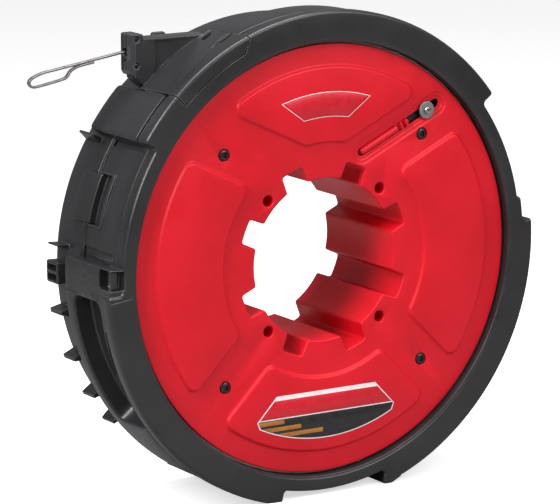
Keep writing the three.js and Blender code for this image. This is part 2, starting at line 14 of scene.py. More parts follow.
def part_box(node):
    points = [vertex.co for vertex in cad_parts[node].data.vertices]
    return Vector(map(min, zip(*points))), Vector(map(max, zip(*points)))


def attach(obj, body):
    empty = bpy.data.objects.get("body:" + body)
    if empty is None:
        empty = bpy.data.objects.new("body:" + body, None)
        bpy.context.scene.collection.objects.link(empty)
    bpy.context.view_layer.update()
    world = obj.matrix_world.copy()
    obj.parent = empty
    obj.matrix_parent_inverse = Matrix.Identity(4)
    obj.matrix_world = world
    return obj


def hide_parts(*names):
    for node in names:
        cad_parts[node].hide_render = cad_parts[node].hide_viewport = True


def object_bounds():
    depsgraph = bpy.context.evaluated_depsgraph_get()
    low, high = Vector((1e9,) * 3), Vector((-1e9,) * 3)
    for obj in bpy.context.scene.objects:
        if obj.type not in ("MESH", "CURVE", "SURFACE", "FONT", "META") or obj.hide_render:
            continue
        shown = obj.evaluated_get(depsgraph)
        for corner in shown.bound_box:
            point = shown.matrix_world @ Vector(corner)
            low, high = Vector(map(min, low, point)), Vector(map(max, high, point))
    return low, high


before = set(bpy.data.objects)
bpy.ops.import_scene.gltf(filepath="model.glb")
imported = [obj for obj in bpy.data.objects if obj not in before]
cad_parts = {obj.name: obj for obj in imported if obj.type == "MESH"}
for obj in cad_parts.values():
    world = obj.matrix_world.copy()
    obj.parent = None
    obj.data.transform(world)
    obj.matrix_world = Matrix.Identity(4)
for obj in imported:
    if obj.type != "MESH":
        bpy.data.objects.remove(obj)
cad_low, cad_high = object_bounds()
scene = bpy.context.scene

MM = 0.001
drum_low, drum_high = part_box("drum_front")
PANEL_PROUD = 2.2
AXIS = (drum_low + drum_high) / 2
AXIS.y = drum_low.y + PANEL_PROUD * MM
FLANGE_R = (drum_high.x - drum_low.x) / 2 / MM

# ---- Camera --------------------------------------------------------------------------------------
CAMERA = {"azimuth": -32.08, "elevation": 11.541, "roll": -0.129, "distance": 2.497, "lens": 230.6}
CAMERA_ASIDE = (-0.03111, 0.00522)


def set_camera():
    """Looks along the azimuth and elevation, with the drum's axis a little aside of the middle."""
    turn, lift, roll = (math.radians(CAMERA[k]) for k in ("azimuth", "elevation", "roll"))
    back = Vector((math.sin(turn) * math.cos(lift), -math.cos(turn) * math.cos(lift), math.sin(lift)))
    right = Vector((math.cos(turn), math.sin(turn), 0))
    up = back.cross(right)
    tilted = right * math.cos(roll) + up * math.sin(roll)
    upright = up * math.cos(roll) - right * math.sin(roll)
    place = AXIS + tilted * CAMERA_ASIDE[0] + upright * CAMERA_ASIDE[1] + back * CAMERA["distance"]
    data = bpy.data.cameras.new("camera")
    data.lens = CAMERA["lens"]
    data.sensor_width = 36
    data.clip_end = 50
    camera = bpy.data.objects.new("camera", data)
    columns = Matrix((tilted, upright, back)).transposed().to_4x4()
    columns.translation = place
    camera.matrix_world = columns
    scene.collection.objects.link(camera)
    scene.camera = camera


set_camera()

# ---- Driving sizes, in millimetres and degrees -----------------------------------------------------
# Names that end in _R are radii. The lobes are (start, end) angles, anticlockwise from the right.
DEPTH = 87
FRONT = -5.4
BACK = 88
SEAM = 52
BEAD_R = 175
GROOVE_R = 171.6
SIDE_R = 173.6
THIN_R = 164.5
LIP_R = 153.5
WALL = 3
BEAD_BACK = 4.8
GROOVE_BACK = 11.2
POCKET_BACK = 25
STEP_BACK = 38
PLATE_BACK = 60
PANEL_BACK = 74
COVER_BACK = 46
TOP_LOBE = (37, 146.5)
PANEL_START = 134.3
PLATE_START = 176
LEFT_LOBE = (182, 257.5)
RIGHT_LOBE = (286.6, 364)
LEDGE_R = 167.3
LEDGE_END = 10
FOOT_Z = -167.5
BORE_R = 57.5
KEYWAY_R = 69.5
KEYWAY_HALF = 8.8
KEYWAYS = 8
HUB_WALL = 3.5
FLANGE_T = 3.2
SCREW_CIRCLE = 115
FACE_SCREWS = (45, 135, 225, 315)
SLOT_TILT = 25.4
SLOT_OFF = 52
SLOT = (57, 131.2)
SLOT_HALF = 3
WASHER_AT = 118.9
TAPE_W = 3
TAPE_T = 1.5
TAPE_Z = 149.6
STEP = 2.0
SMOOTH_BELOW = 27
OVERLAP = 0.05


# ---- Outlines: lists of (x, z) points, material on the left ---------------------------------------
def polar(r, angle):
    turn = math.radians(angle)
    return (r * math.cos(turn), r * math.sin(turn))


def arc(r, start, end, step=STEP):
    low, high = min(start, end), max(start, end)
    angles = [low]
    at = math.ceil((low + step / 5) / step) * step
    while at < high - step / 5:
        angles.append(at)
        at += step
    angles.append(high)
    if start > end:
        angles.reverse()
    return [polar(r, angle) for angle in angles]


def circle(r, step=STEP, centre=(0, 0)):
    return [(x + centre[0], z + centre[1]) for x, z in arc(r, 0, 360, step)[:-1]]


def flipped(loop):
    return list(reversed(loop))


def sector(outer, inner, start, end):
    """The stretch of a ring between two radii and two angles."""
    return arc(outer, start, end) + flipped(arc(inner, start, end))


def quarter(count=5):
    return [math.pi / 2 * i / count for i in range(count + 1)]


def step_radii(drop, fillet):
    """Radii of a step's outward and inward corners; the outward one takes most of a low step."""
    outward = min(fillet, 0.9 * drop)
    return outward, min(fillet, drop - outward)


def stepped(stretches, fillet=2.6):
    """A closed outline from stretches (radius, start, end) with a filleted wall at each change."""
    points = []
    for i, (r, start, end) in enumerate(stretches):
        after = stretches[(i + 1) % len(stretches)][0]
        before = stretches[i - 1][0]
        lead = step_radii(abs(before - r), fillet)[0 if before < r else 1] if before != r else 0
        trail, arrive = step_radii(abs(after - r), fillet) if after != r else (0, 0)
        if after > r:
            trail, arrive = arrive, trail
        points += arc(r, start + math.degrees(lead / r), end - math.degrees(trail / r))
        if not trail:
            continue
        way = 1 if after > r else -1
        for t in quarter()[1:]:
            along = -trail + trail * math.sin(t)
            rise = trail - trail * math.cos(t)
            points.append(polar(r + way * rise, end + math.degrees(along / r)))
        for t in quarter()[:-1]:
            along = arrive - arrive * math.cos(t)
            rise = arrive - arrive * math.sin(t)
            points.append(polar(after - way * rise, end + math.degrees(along / r)))
    return [p for i, p in enumerate(points) if math.dist(p, points[i - 1]) > 0.02]


def ring_outline(thick, left=LEFT_LOBE[0], top=TOP_LOBE):
    return stepped([
        (LEDGE_R, RIGHT_LOBE[1] - 360, LEDGE_END), (THIN_R, LEDGE_END, top[0]), (thick, *top),
        (THIN_R, top[1], left), (thick, left, LEFT_LOBE[1]), (THIN_R, LEFT_LOBE[1], RIGHT_LOBE[0]),
        (thick, *RIGHT_LOBE),
    ])


def stadium(start, end, half):
    """A strip with round ends, as (along, across)."""
    ends = ((end - half, -90, 90), (start + half, 90, 270))
    return [(x + at, z) for at, low, high in ends for x, z in arc(half, low, high, 12)]


def rounded_box(low, high, radius, count=6):
    (x0, z0), (x1, z1) = low, high
    corners = ((x1 - radius, z0 + radius, -90), (x1 - radius, z1 - radius, 0),
               (x0 + radius, z1 - radius, 90), (x0 + radius, z0 + radius, 180))
    return [(x + radius * math.cos(math.radians(first + 90 * i / count)),
             z + radius * math.sin(math.radians(first + 90 * i / count)))
            for x, z, first in corners for i in range(count + 1)]


def along_slot(point):
    """From (along, across) the anchor slot to (x, z)."""
    tilt = math.radians(SLOT_TILT)
    s, w = point[0], point[1] + SLOT_OFF
    return (s * math.cos(tilt) - w * math.sin(tilt), s * math.sin(tilt) + w * math.cos(tilt))


def inset(loop, distance):
    """Every point moved into the material by that distance."""
    moved = []
    for i, (x, z) in enumerate(loop):
        ax, az = loop[i - 1]
        cx, cz = loop[(i + 1) % len(loop)]
        first, second = Vector((x - ax, z - az)), Vector((cx - x, cz - z))
        first.normalize()
        second.normalize()
        n1, n2 = Vector((-first.y, first.x)), Vector((-second.y, second.x))
        share = distance / max(0.4, 1 + n1.dot(n2))
        moved.append((x + (n1.x + n2.x) * share, z + (n1.y + n2.y) * share))
    return moved


def rounding(radius, start, away, count=4):
    """Levels (inset, height) of a rounded edge whose cap is at start and whose wall goes away from it."""
    return [(radius * (1 - math.sin(t)), start + away * radius * (1 - math.cos(t))) for t in quarter(count)]


def crowned(inner, outer, ease):
    """Levels from a radius inside the ring out to a rounded outer edge."""
    return [(0, inner)] + flipped(rounding(ease, outer, -1))


# ---- Solids ---------------------------------------------------------------------------------------
class Solid:
    """A closed mesh in millimetres. + joins, - cuts and & keeps what two share."""

    bench = []

    def __init__(self, mesh):
        self.mesh = mesh

    @classmethod
    def of(cls, verts, faces):
        volume = 0
        for face in faces:
            a = Vector(verts[face[0]])
            for k in range(1, len(face) - 1):
                volume += a.dot(Vector(verts[face[k]]).cross(Vector(verts[face[k + 1]])))
        if volume < 0:
            faces = [list(reversed(face)) for face in faces]
        mesh = bpy.data.meshes.new("solid")
        mesh.from_pydata([tuple(v) for v in verts], [], faces)
        return cls(mesh)

    def _with(self, other, operation):
        if not Solid.bench:
            for name in ("bench_base", "bench_tool"):
                made = bpy.data.objects.new(name, bpy.data.meshes.new(name))
                scene.collection.objects.link(made)
                Solid.bench.append(made)
            Solid.bench[0].modifiers.new("join", "BOOLEAN")
        base, tool = Solid.bench
        base.data, tool.data = self.mesh, other.mesh
        modifier = base.modifiers[0]
        modifier.solver = "MANIFOLD"
        modifier.operation = operation
        modifier.object = tool
        base.update_tag()
        tool.update_tag()
        bpy.context.view_layer.update()
        graph = bpy.context.evaluated_depsgraph_get()
        made = bpy.data.meshes.new_from_object(base.evaluated_get(graph))
        if not made.polygons:
            raise RuntimeError("the solids gave nothing: one of them isn't closed")
        return Solid(made)

    def __add__(self, other):
        return self._with(other, "UNION")

    def __sub__(self, other):
        return self._with(other, "DIFFERENCE")

    def __and__(self, other):
        return self._with(other, "INTERSECT")

    def swung(self, degrees):
        """Turned about the drum's axis."""
        mesh = self.mesh.copy()
        mesh.transform(Matrix.Rotation(-math.radians(degrees), 4, "Y"))
        return Solid(mesh)

    @classmethod
    def clear_bench(cls):
        for made in cls.bench:
            bpy.data.objects.remove(made)
        cls.bench = []


def joined(solids):
    total = solids[0]
    for one in solids[1:]:
        total = total + one
    return total


def without(solid, cuts):
    for one in cuts:
        solid = solid - one
    return solid


def cap_triangles(loops, extra=()):
    """Triangles of the flat region left of every loop; extra points give a curved cap its shape."""
    flat, edges = [], []
    for loop in loops:
        first = len(flat)
        flat += [Vector(p) for p in loop]
        edges += [(first + i, first + (i + 1) % len(loop)) for i in range(len(loop))]
    rim = len(flat)
    flat += [Vector(p) for p in extra]
    points, _, faces, sources, _, _ = delaunay_2d_cdt(flat, edges, [], 1, 1e-7, True)
    if not all(sources):
        raise RuntimeError("an outline crosses itself once it is inset")
    back = [found[0] for found in sources]
    triangles, owner = [], {}
    for face in faces:
        a, b, c = (points[i] for i in face)
        turned_left = (b - a).cross(c - a) > 0
        ids = [back[i] for i in (face if turned_left else reversed(face))]
        for i in range(3):
            owner[ids[i - 1], ids[i]] = len(triangles)
        triangles.append(ids)
    fence = set(edges)
    inside = {owner[edge] for edge in edges if edge in owner}
    queue = list(inside)
    while queue:
        ids = triangles[queue.pop()]
        for i in range(3):
            beyond = owner.get((ids[i], ids[i - 1]))
            if (ids[i - 1], ids[i]) not in fence and beyond is not None and beyond not in inside:
                inside.add(beyond)
                queue.append(beyond)
    kept = [triangles[i] for i in sorted(inside)]
    used = sorted({i for ids in kept for i in ids if i >= rim})
    return kept, used


def oriented(loop, sign):
    area = sum(a[0] * b[1] - a[1] * b[0] for a, b in zip(loop, loop[1:] + loop[:1]))
    return list(loop) if area * sign > 0 else flipped(loop)


def loft(loops, levels, place, grid=None):
    """Loops carried through levels (inset, height), closed at both ends. place makes a 3D point."""
    loops = [oriented(loop, -1 if i else 1) for i, loop in enumerate(loops)]
    verts, faces, rings = [], [], []
    for depth, height in levels:
        moved = [inset(loop, depth) if depth else list(loop) for loop in loops]
        rings.append((len(verts), moved, height))
        verts += [place(p, height) for loop in moved for p in loop]
    for (low, moved, _), (high, _, _) in zip(rings, rings[1:]):
        offset = 0
        for loop in moved:
            n = len(loop)
            for i in range(n):
                a, b = offset + i, offset + (i + 1) % n
                faces.append([low + a, high + a, high + b, low + b])
            offset += n
    for (first, moved, height), is_front in ((rings[0], True), (rings[-1], False)):
        extra = [p for p in grid or [] if all(clear_of(p, loop) for loop in moved)]
        triangles, used = cap_triangles(moved, extra)
        rim = sum(len(loop) for loop in moved)
        names = {}
        for i in used:
            names[i] = len(verts)
            verts.append(place(extra[i - rim], height))
        for face in triangles:
            ids = [names[i] if i >= rim else first + i for i in face]
            faces.append(ids if is_front else list(reversed(ids)))
    return Solid.of(verts, faces)


def clear_of(point, loop, margin=0.4):
    return all((point[0] - x) ** 2 + (point[1] - z) ** 2 > margin ** 2 for x, z in loop)


def plate(outline, front, back, holes=(), ease=0, ease_back=0, levels=None):
    """An outline made into a plate between two depths, with rounded front and back edges."""
    if levels is None:
        levels = rounding(ease, front, 1) if ease else [(0, front)]
        levels += list(reversed(rounding(ease_back, back, -1))) if ease_back else [(0, back)]
    return loft([outline, *holes], levels, lambda p, y: (p[0], y, p[1]))


def slot_plate(outline, front=None, back=None, holes=(), ease=0, levels=None):
    """The same, drawn along and across the anchor slot."""
    if levels is None:
        levels = (rounding(ease, front, 1) if ease else [(0, front)]) + [(0, back)]

    def place(p, y):
        x, z = along_slot(p)
        return (x, y, z)

    return loft([outline, *holes], levels, place)


ARC_LENGTH = math.radians(SIDE_R)


def wrapped(outline, levels):
    """An outline of (angle, y) points laid round the ring and carried through levels (inset, radius)."""
    flat = [(angle * ARC_LENGTH, y) for angle, y in outline]
    angles, depths = [a for a, _ in outline], [y for _, y in outline]
    grid = []
    at = (math.floor(min(angles) / STEP + 0.1) + 1) * STEP
    low, high = min(depths), max(depths)
    while at < max(angles) - 0.2:
        grid += [(at * ARC_LENGTH, low + (high - low) * k / 4 + at * 1e-3) for k in range(1, 4)]
        at += STEP

    def place(p, r):
        x, z = polar(r, p[0] / ARC_LENGTH)
        return (x, p[1], z)

    return loft([flat], levels, place, grid if max(angles) - min(angles) > STEP else None)


def patch(start, end, front, back, corner=0.0, count=5):
    """A rounded rectangle of (angle, y) points; long sides carry a point every two degrees."""
    width = (end - start) * ARC_LENGTH
    corners = [(0, front), (width, front), (width, back), (0, back)]
    if corner:
        corners = rounded_box((0, front), (width, back), corner, count)
    points = []
    for x, z in [*corners, corners[0]]:
        if points and abs(x - points[-1][0]) > 2 * STEP * ARC_LENGTH:
            x0, z0 = points[-1]
            pieces = int(abs(x - x0) / (STEP * ARC_LENGTH))
            points += [(x0 + (x - x0) * i / pieces, z0 + (z - z0) * i / pieces) for i in range(1, pieces)]
        points.append((x, z))
    return [(start + x / ARC_LENGTH, z) for x, z in points[:-1]]


def block(x, y, z):
    """A plain box between (low, high) pairs, used as a cutter and for trim."""
    verts = [(a, b, c) for a in x for b in y for c in z]
    faces = [[0, 1, 3, 2], [4, 6, 7, 5], [0, 4, 5, 1], [2, 3, 7, 6], [0, 2, 6, 4], [1, 5, 7, 3]]
    return Solid.of(verts, faces)


def prism(outline, low, high):
    """An outline of (x, y) points carried from one height to another."""
    n = len(outline)
    verts = [(x, y, z) for z in (low, high) for x, y in outline]
    walls = [[i, i + n, (i + 1) % n + n, (i + 1) % n] for i in range(n)]
    return Solid.of(verts, [list(range(n)), list(range(2 * n - 1, n - 1, -1))] + walls)


def skin(count, size, base=0, closed=True):
    """Faces between rings of points; the last ring joins the first if closed."""
    faces = []
    for k in range(count if closed else count - 1):
        low, high = base + k * size, base + (k + 1) % count * size
        for i in range(size):
            j = (i + 1) % size
            faces.append([low + i, low + j, high + j, high + i])
    return faces


def spun(profile, segments):
    """Points of a profile of (radius, y) turned about the drum's axis."""
    places = [(k, r, y) for k in range(segments) for r, y in profile]
    return [(polar(r, 360 * k / segments)[0], y, polar(r, 360 * k / segments)[1]) for k, r, y in places]


def turned(profile, segments=180):
    return Solid.of(spun(profile, segments), skin(segments, len(profile)))


def ring(inner, outer, front, back, ease=0.0):
    outline = rounded_box((inner, front), (outer, back), ease, 3) if ease else \
        [(inner, front), (outer, front), (outer, back), (inner, back)]
    return turned(outline)


def disc(x, z, r, front, back, ease=0.0, sides=32):
    return plate(circle(r, 360 / sides, (x, z)), front, back, ease=ease)


def star(r_out, r_in, centre):
    """The socket of a driver with six lobes."""
    lobes, steps = 6, 8
    points = []
    for i in range(lobes * steps):
        swing = 0.5 + 0.5 * math.cos(2 * math.pi * i / steps)
        x, z = polar(r_in + (r_out - r_in) * swing, 360 * i / (lobes * steps))
        points.append((x + centre[0], z + centre[1]))
    return points


# ---- Shader maths ---------------------------------------------------------------------------------
class Value:
    """A socket that carries a number; arithmetic on it adds Math nodes."""

    def __init__(self, finish, socket):
        self.finish = finish
        self.socket = socket

    def _math(self, operation, *operands):
        inputs = {i: operand for i, operand in enumerate(operands)}
        return self.finish.node("Math", {"operation": operation}, inputs)

    def __add__(self, other):
        return self._math("ADD", self, other)

    def __radd__(self, other):
        return self._math("ADD", other, self)

    def __sub__(self, other):
        return self._math("SUBTRACT", self, other)

    def __rsub__(self, other):
        return self._math("SUBTRACT", other, self)

    def __mul__(self, other):
        return self._math("MULTIPLY", self, other)

    def __rmul__(self, other):
        return self._math("MULTIPLY", other, self)

    def __truediv__(self, other):
        return self._math("DIVIDE", self, other)

    def __rtruediv__(self, other):
        return self._math("DIVIDE", other, self)

    def clamped(self):
        return self._math("MINIMUM", self._math("MAXIMUM", self, 0.0), 1.0)


class Finish:
    """A material being built. node() makes any node; the rest are finishes' common patterns."""

    def __init__(self, name):
        self.material = bpy.data.materials.new(name)
        self.material.use_nodes = True
        self.tree = self.material.node_tree
        self.tree.nodes.clear()
        output = self.tree.nodes.new("ShaderNodeOutputMaterial")
        self.shader = self.tree.nodes.new("ShaderNodeBsdfPrincipled")
        self.tree.links.new(self.shader.outputs[0], output.inputs["Surface"])

    def node(self, kind, settings=None, inputs=None, output=0):
        made = self.tree.nodes.new("ShaderNode" + kind)
        for key, value in (settings or {}).items():
            if key == "stops":
                ramp = made.color_ramp
                while len(ramp.elements) < len(value):
                    ramp.elements.new(0.5)
                for element, (at, colour) in zip(ramp.elements, value):
                    element.position = at
                    element.color = colour
            else:
                setattr(made, key, value)
        for key, value in (inputs or {}).items():
            if isinstance(value, Value):
                self.tree.links.new(value.socket, made.inputs[key])
            else:
                made.inputs[key].default_value = value
        return Value(self, made.outputs[output])

    def feed(self, **sockets):
        for key, value in sockets.items():
            socket = self.shader.inputs[key.replace("_", " ")]
            if isinstance(value, Value):
                self.tree.links.new(value.socket, socket)
            else:
                socket.default_value = value
        return self

    def place(self, stretch=(1, 1, 1)):
        """Points of the row frame, stretched along each axis."""
        spot = self.node("TexCoord", output="Object")
        return self.node("VectorMath", {"operation": "MULTIPLY"}, {0: spot, 1: stretch})

    def noise(self, scale, detail=3.0, roughness=0.55, stretch=(1, 1, 1)):
        return self.node("TexNoise", None, {
            "Vector": self.place(stretch), "Scale": scale, "Detail": detail, "Roughness": roughness})

    def cells(self, scale):
        return self.node("TexVoronoi", {"feature": "F1"}, {"Vector": self.place(), "Scale": scale})

    def step(self, value, low, high):
        """0 below low, 1 above high, smooth between."""
        return self.node("MapRange", {"interpolation_type": "SMOOTHSTEP"},
                         {"Value": value, "From Min": low, "From Max": high})

    def mix(self, factor, a, b):
        return self.node("Mix", {"data_type": "RGBA"}, {0: factor, 6: a, 7: b}, 2)

    def eased(self, radius):
        """The normal with edges rounded over that radius, in metres."""
        return self.node("Bevel", {"samples": 6}, {"Radius": radius})

    def edges(self, radius, low=0.015, high=0.16):
        """1 on edges and corners, 0 on open faces."""
        true = self.node("NewGeometry", output="Normal")
        soft = self.eased(radius)
        alike = self.node("VectorMath", {"operation": "DOT_PRODUCT"}, {0: true, 1: soft}, "Value")
        return self.step(1 - alike, low, high)

    def hollows(self, reach):
        """1 deep in a corner, 0 in the open."""
        open_sky = self.node("AmbientOcclusion", {"samples": 6}, {"Distance": reach}, "AO")
        return 1 - open_sky

    def bump(self, height, strength, distance, normal):
        return self.node("Bump", None, {
            "Strength": strength, "Distance": distance, "Height": height, "Normal": normal})


def grey(level, warm=0.0):
    return (level * (1 + warm), level, level * (1 - warm), 1)


def moulded(name, dark, light, wear_and_highlight, dust_and_shade, rough, grain=1500.0, grain_depth=0.00006, sheen=0.0,
            gloss=0.5):
    """Injection-moulded plastic: spark-eroded grain, faint flow marks, edges lightened as rubbed wear and
    painted highlight, corners filled with dust and painted shade.
    """
    finish = Finish(name)
    flow = finish.noise(14, 3, 0.6, (1, 2.2, 1))
    cloud = finish.noise(52, 4, 0.6)
    texture = finish.noise(grain, 2, 0.7)
    pits = finish.cells(grain * 0.8)
    speck = finish.noise(420, 4, 0.75)
    edge = finish.edges(0.0011)
    # Edges lightened by the fourth colour: partly rubbed wear, partly a painted highlight along the edges.
    rub = (edge * finish.step(cloud, 0.34, 0.66)).clamped()
    # Hollows get the fifth colour: dust on the black moulding, painted shade where it is darker than the
    # base, as on the red and natural ones.
    corner = finish.hollows(0.008)
    colour = finish.mix(finish.step(flow * 0.7 + cloud * 0.3, 0.34, 0.66), dark, light)
    colour = finish.mix(rub * 0.75, colour, wear_and_highlight)
    colour = finish.mix(finish.step(corner, 0.3, 1.0) * finish.step(speck, 0.42, 0.7) * 0.35, colour, dust_and_shade)
    handled = finish.step(finish.noise(30, 5, 0.7), 0.52, 0.72)
    scratch = finish.step(finish.noise(90, 6, 0.85, (1, 9, 1)), 0.63, 0.7)
    height = texture * 0.6 + pits * 0.4 - scratch * 0.35 + cloud * 1.2
    finish.feed(
        Base_Color=colour,
        Roughness=(rough + (texture - 0.5) * 0.14 + (flow - 0.5) * 0.1
                   - handled * 0.07 - rub * 0.05).clamped(),
        Normal=finish.bump(height, 0.5, grain_depth, finish.eased(0.0007)),
        IOR=1.5,
        Specular_IOR_Level=gloss,
        Coat_Weight=sheen,
        Coat_Roughness=0.3,
    )
    return finish.material


def turned_metal(name, dark, light, rough, stretch, scale, tarnish=None, metal=1.0):
    """Metal with drawing or turning marks along one direction, stains and bright edges."""
    strongest = 1.5
    finish = Finish(name)
    marks = finish.noise(scale, 5, 0.75, stretch)
    fine = finish.noise(scale * 2.7, 3, 0.8, stretch)
    stain = finish.noise(70, 4, 0.6)
    edge = finish.edges(0.0005, 0.02, 0.2)
    colour = finish.mix(finish.step(marks, 0.3, 0.7), dark, light)
    if tarnish:
        colour = finish.mix(finish.step(stain, 0.5, 0.74) * 0.5, colour, tarnish)
    colour = finish.mix(edge * 0.5, colour, tuple(min(1.0, c * strongest) for c in light[:3]) + (1,))
    finish.feed(
        Base_Color=colour,
        Metallic=metal,
        Roughness=(rough + (fine - 0.5) * 0.22 + (stain - 0.5) * 0.12).clamped(),
        Normal=finish.bump(marks * 0.6 + fine * 0.4, 0.35, 0.00003, finish.eased(0.00025)),
    )
    return finish.material


def printed(name, dark, light, rough=0.3):
    """Printed film: a fine dot screen, slightly uneven ink, rubbed rim and a soft orange peel."""
    finish = Finish(name)
    ink = finish.noise(160, 3, 0.6)
    dots = finish.cells(2600)
    rub = finish.step(finish.noise(240, 4, 0.7), 0.66, 0.74)
    colour = finish.mix((finish.step(ink, 0.3, 0.7) * 0.7 + dots * 0.3).clamped(), dark, light)
    colour = finish.mix(rub * 0.04, colour, tuple(c * 0.5 + 0.2 for c in light[:3]) + (1,))
    finish.feed(
        Base_Color=colour,
        Roughness=(rough + (ink - 0.5) * 0.2).clamped(),
        Normal=finish.bump(finish.noise(900, 2), 0.2, 0.00003, finish.eased(0.0002)),
    )
    return finish.material


# Each moulding's fourth colour lightens its edges as wear and painted highlight; its fifth fills its hollows
# as dust and painted shade.
BLACK = moulded("black_moulding", (0.0125, 0.013, 0.014, 1), (0.020, 0.0205, 0.022, 1),
                (0.14, 0.142, 0.148, 1), (0.06, 0.059, 0.056, 1), 0.34)
BLACK_GLOSS = moulded("black_polished", (0.008, 0.008, 0.009, 1), (0.014, 0.014, 0.015, 1),
                      (0.08, 0.08, 0.085, 1), (0.06, 0.06, 0.055, 1), 0.2, 600, 0.00001, 0.5)
RED = moulded("red_moulding", (0.60, 0.003, 0.012, 1), (0.68, 0.005, 0.018, 1),
              (0.80, 0.04, 0.06, 1), (0.20, 0.003, 0.006, 1), 0.44, 1100, 0.00003, 0.03, 0.3)
NATURAL = moulded("natural_moulding", (0.62, 0.59, 0.52, 1), (0.70, 0.68, 0.62, 1),
                  (0.8, 0.78, 0.74, 1), (0.25, 0.23, 0.2, 1), 0.42, 1300)
STEEL = turned_metal("drawn_steel", grey(0.25, 0.05), grey(0.42, 0.04), 0.3, (1, 26, 26), 160,
                     (0.20, 0.15, 0.11, 1))
ZINC = turned_metal("dull_zinc", grey(0.24, 0.01), grey(0.36, 0.01), 0.44, (1, 1, 1), 520,
                    (0.2, 0.2, 0.19, 1), 0.85)
OXIDE = turned_metal("black_oxide", grey(0.03), grey(0.075), 0.36, (1, 6, 1), 700,
                     (0.05, 0.035, 0.025, 1))
BRIGHT = turned_metal("bright_socket", grey(0.26, 0.02), grey(0.5, 0.02), 0.28, (1, 6, 1), 600)
PRINT_RED = printed("red_print", (0.52, 0.004, 0.014, 1), (0.60, 0.008, 0.022, 1))
PRINT_BLACK = printed("black_print", (0.008, 0.008, 0.009, 1), (0.016, 0.016, 0.017, 1))
PRINT_WHITE = printed("white_print", (0.74, 0.70, 0.70, 1), (0.86, 0.82, 0.82, 1))
PRINT_AMBER = printed("amber_print", (0.36, 0.13, 0.012, 1), (0.48, 0.19, 0.02, 1))


# ---- Finishing pieces -----------------------------------------------------------------------------
def piece(name, solid, material, body, slot, *nodes):
    """Puts a solid in the row frame, in metres, with its finish, body and the CAD nodes it stands for."""
    mesh = solid.mesh.copy()
    mesh.name = name
    mesh.transform(Matrix.Translation(AXIS) @ Matrix.Scale(MM, 4))
    mesh.polygons.foreach_set("use_smooth", [True] * len(mesh.polygons))
    mesh.set_sharp_from_angle(angle=math.radians(SMOOTH_BELOW))
    mesh.materials.clear()
    mesh.materials.append(material)
    mesh.polygons.foreach_set("material_index", [0] * len(mesh.polygons))
    made = bpy.data.objects.new(name, mesh)
    scene.collection.objects.link(made)
    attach(made, body)
    if nodes:
        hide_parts(*nodes)
    return made


def keep(node, material):
    """A CAD node that stays, with its finish."""
    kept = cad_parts[node]
    kept.data.materials.clear()
    kept.data.materials.append(material)


# ---- Front shell ----------------------------------------------------------------------------------
HAND_SLOT = {"start": 184.4, "end": 218, "front": 12, "back": 49, "floor": 160, "corner": 7}
POCKET_WALL = 2
CLIPS = {"left": 161.6, "right": 21.5, "bottom": 271.5}
CLIP_HALF = 6.2
CLIP_WINDOW = (31, 47)
SHELL_SCREWS = {"upper_right": 55, "upper_left": 152, "lower_left": 232, "lower_right": 322}
SHELL_SCREW_R = 158.8
TAPE_PASSAGE = block((-92, -30), (SEAM - 2.6, SEAM + 2.6), (TAPE_Z - 2.2, TAPE_Z + 1.6))
INNER_R = THIN_R - WALL
JOINT_EASE = 0.9
OUTSIDE = BEAD_R + 3
NOZZLE_RECESS = (147.4, 173.9)
GUTTERS = ((146.6, 148.3), (173.0, 174.7))
PLATE_LINE = (183.55, 183.82)


def slice_of(outline, front, back, ease=0.0, ease_back=0.0):
    return plate(outline, front, back, [circle(INNER_R)], ease, ease_back)


def cap_patch(start, end, front, back, corner, ease=1.2):
    """A raised pad on the ring with rounded corners and edges."""
    return wrapped(patch(start, end, front, back, corner), crowned(THIN_R - 1.5, SIDE_R, ease))


FEET = {
    "left": [(-50.5, -161), (-50.5, FOOT_Z + 1), (-49.5, FOOT_Z), (-39.5, FOOT_Z), (-38.2, FOOT_Z + 1),
             (-37, -164), (-37, -161)],
    "right": [(47.2, -161), (47.2, -166), (48.4, FOOT_Z), (54.2, FOOT_Z), (62, -163.6), (62, -160),
              (55, -158)],
}


def feet(front, back):
    return [plate(outline, front, back, ease=0.7, ease_back=0.7) for outline in FEET.values()]


def above_floor(solid):
    """Everything below the feet taken off."""
    return solid - block((-200, 200), (-20, 120), (-220, FOOT_Z))


def hand_slot_cutter():
    """The hand slot, with a rounded rim and a rounded foot."""
    spot, floor = HAND_SLOT, HAND_SLOT["floor"]
    outline = patch(spot["start"], spot["end"], spot["front"], spot["back"], spot["corner"], 7)
    return wrapped(outline, [
        (1.4, floor), (0.4, floor + 0.6), (0, floor + 1.6), (0, SIDE_R - 1.8), (-0.14, SIDE_R - 1.1),
        (-0.53, SIDE_R - 0.53), (-1.1, SIDE_R - 0.14), (-1.8, SIDE_R), (-1.8, SIDE_R + 12)])


def hand_slot_pocket():
    """The walls and floor behind the hand slot."""
    spot, floor = HAND_SLOT, HAND_SLOT["floor"]
    outline = patch(spot["start"] - 0.8, spot["end"] + 0.8, spot["front"] - 2.4, spot["back"] + 2, 8, 7)
    return wrapped(outline, [(1, floor - POCKET_WALL), (0, floor), (0, THIN_R - 1)])


COVER_EDGE = {"start": 113.0, "end": 134.0, "inner": 165.2}
COVER_GAP = 0.75


def cover_region(grow, back):
    """The part of the ring that the exit cover fills; grow opens the seam round it."""
    swing = math.degrees(grow / SIDE_R)
    start, end = COVER_EDGE["start"] - swing, COVER_EDGE["end"] + swing
    outline = arc(COVER_EDGE["inner"] - grow, end - 0.2, start + 1.3)
    outline += [polar(BEAD_R - 3, start - 1.2), polar(BEAD_R + 30, start - 1.4), polar(BEAD_R + 30, end)]
    return plate(outline, FRONT - 5, back)


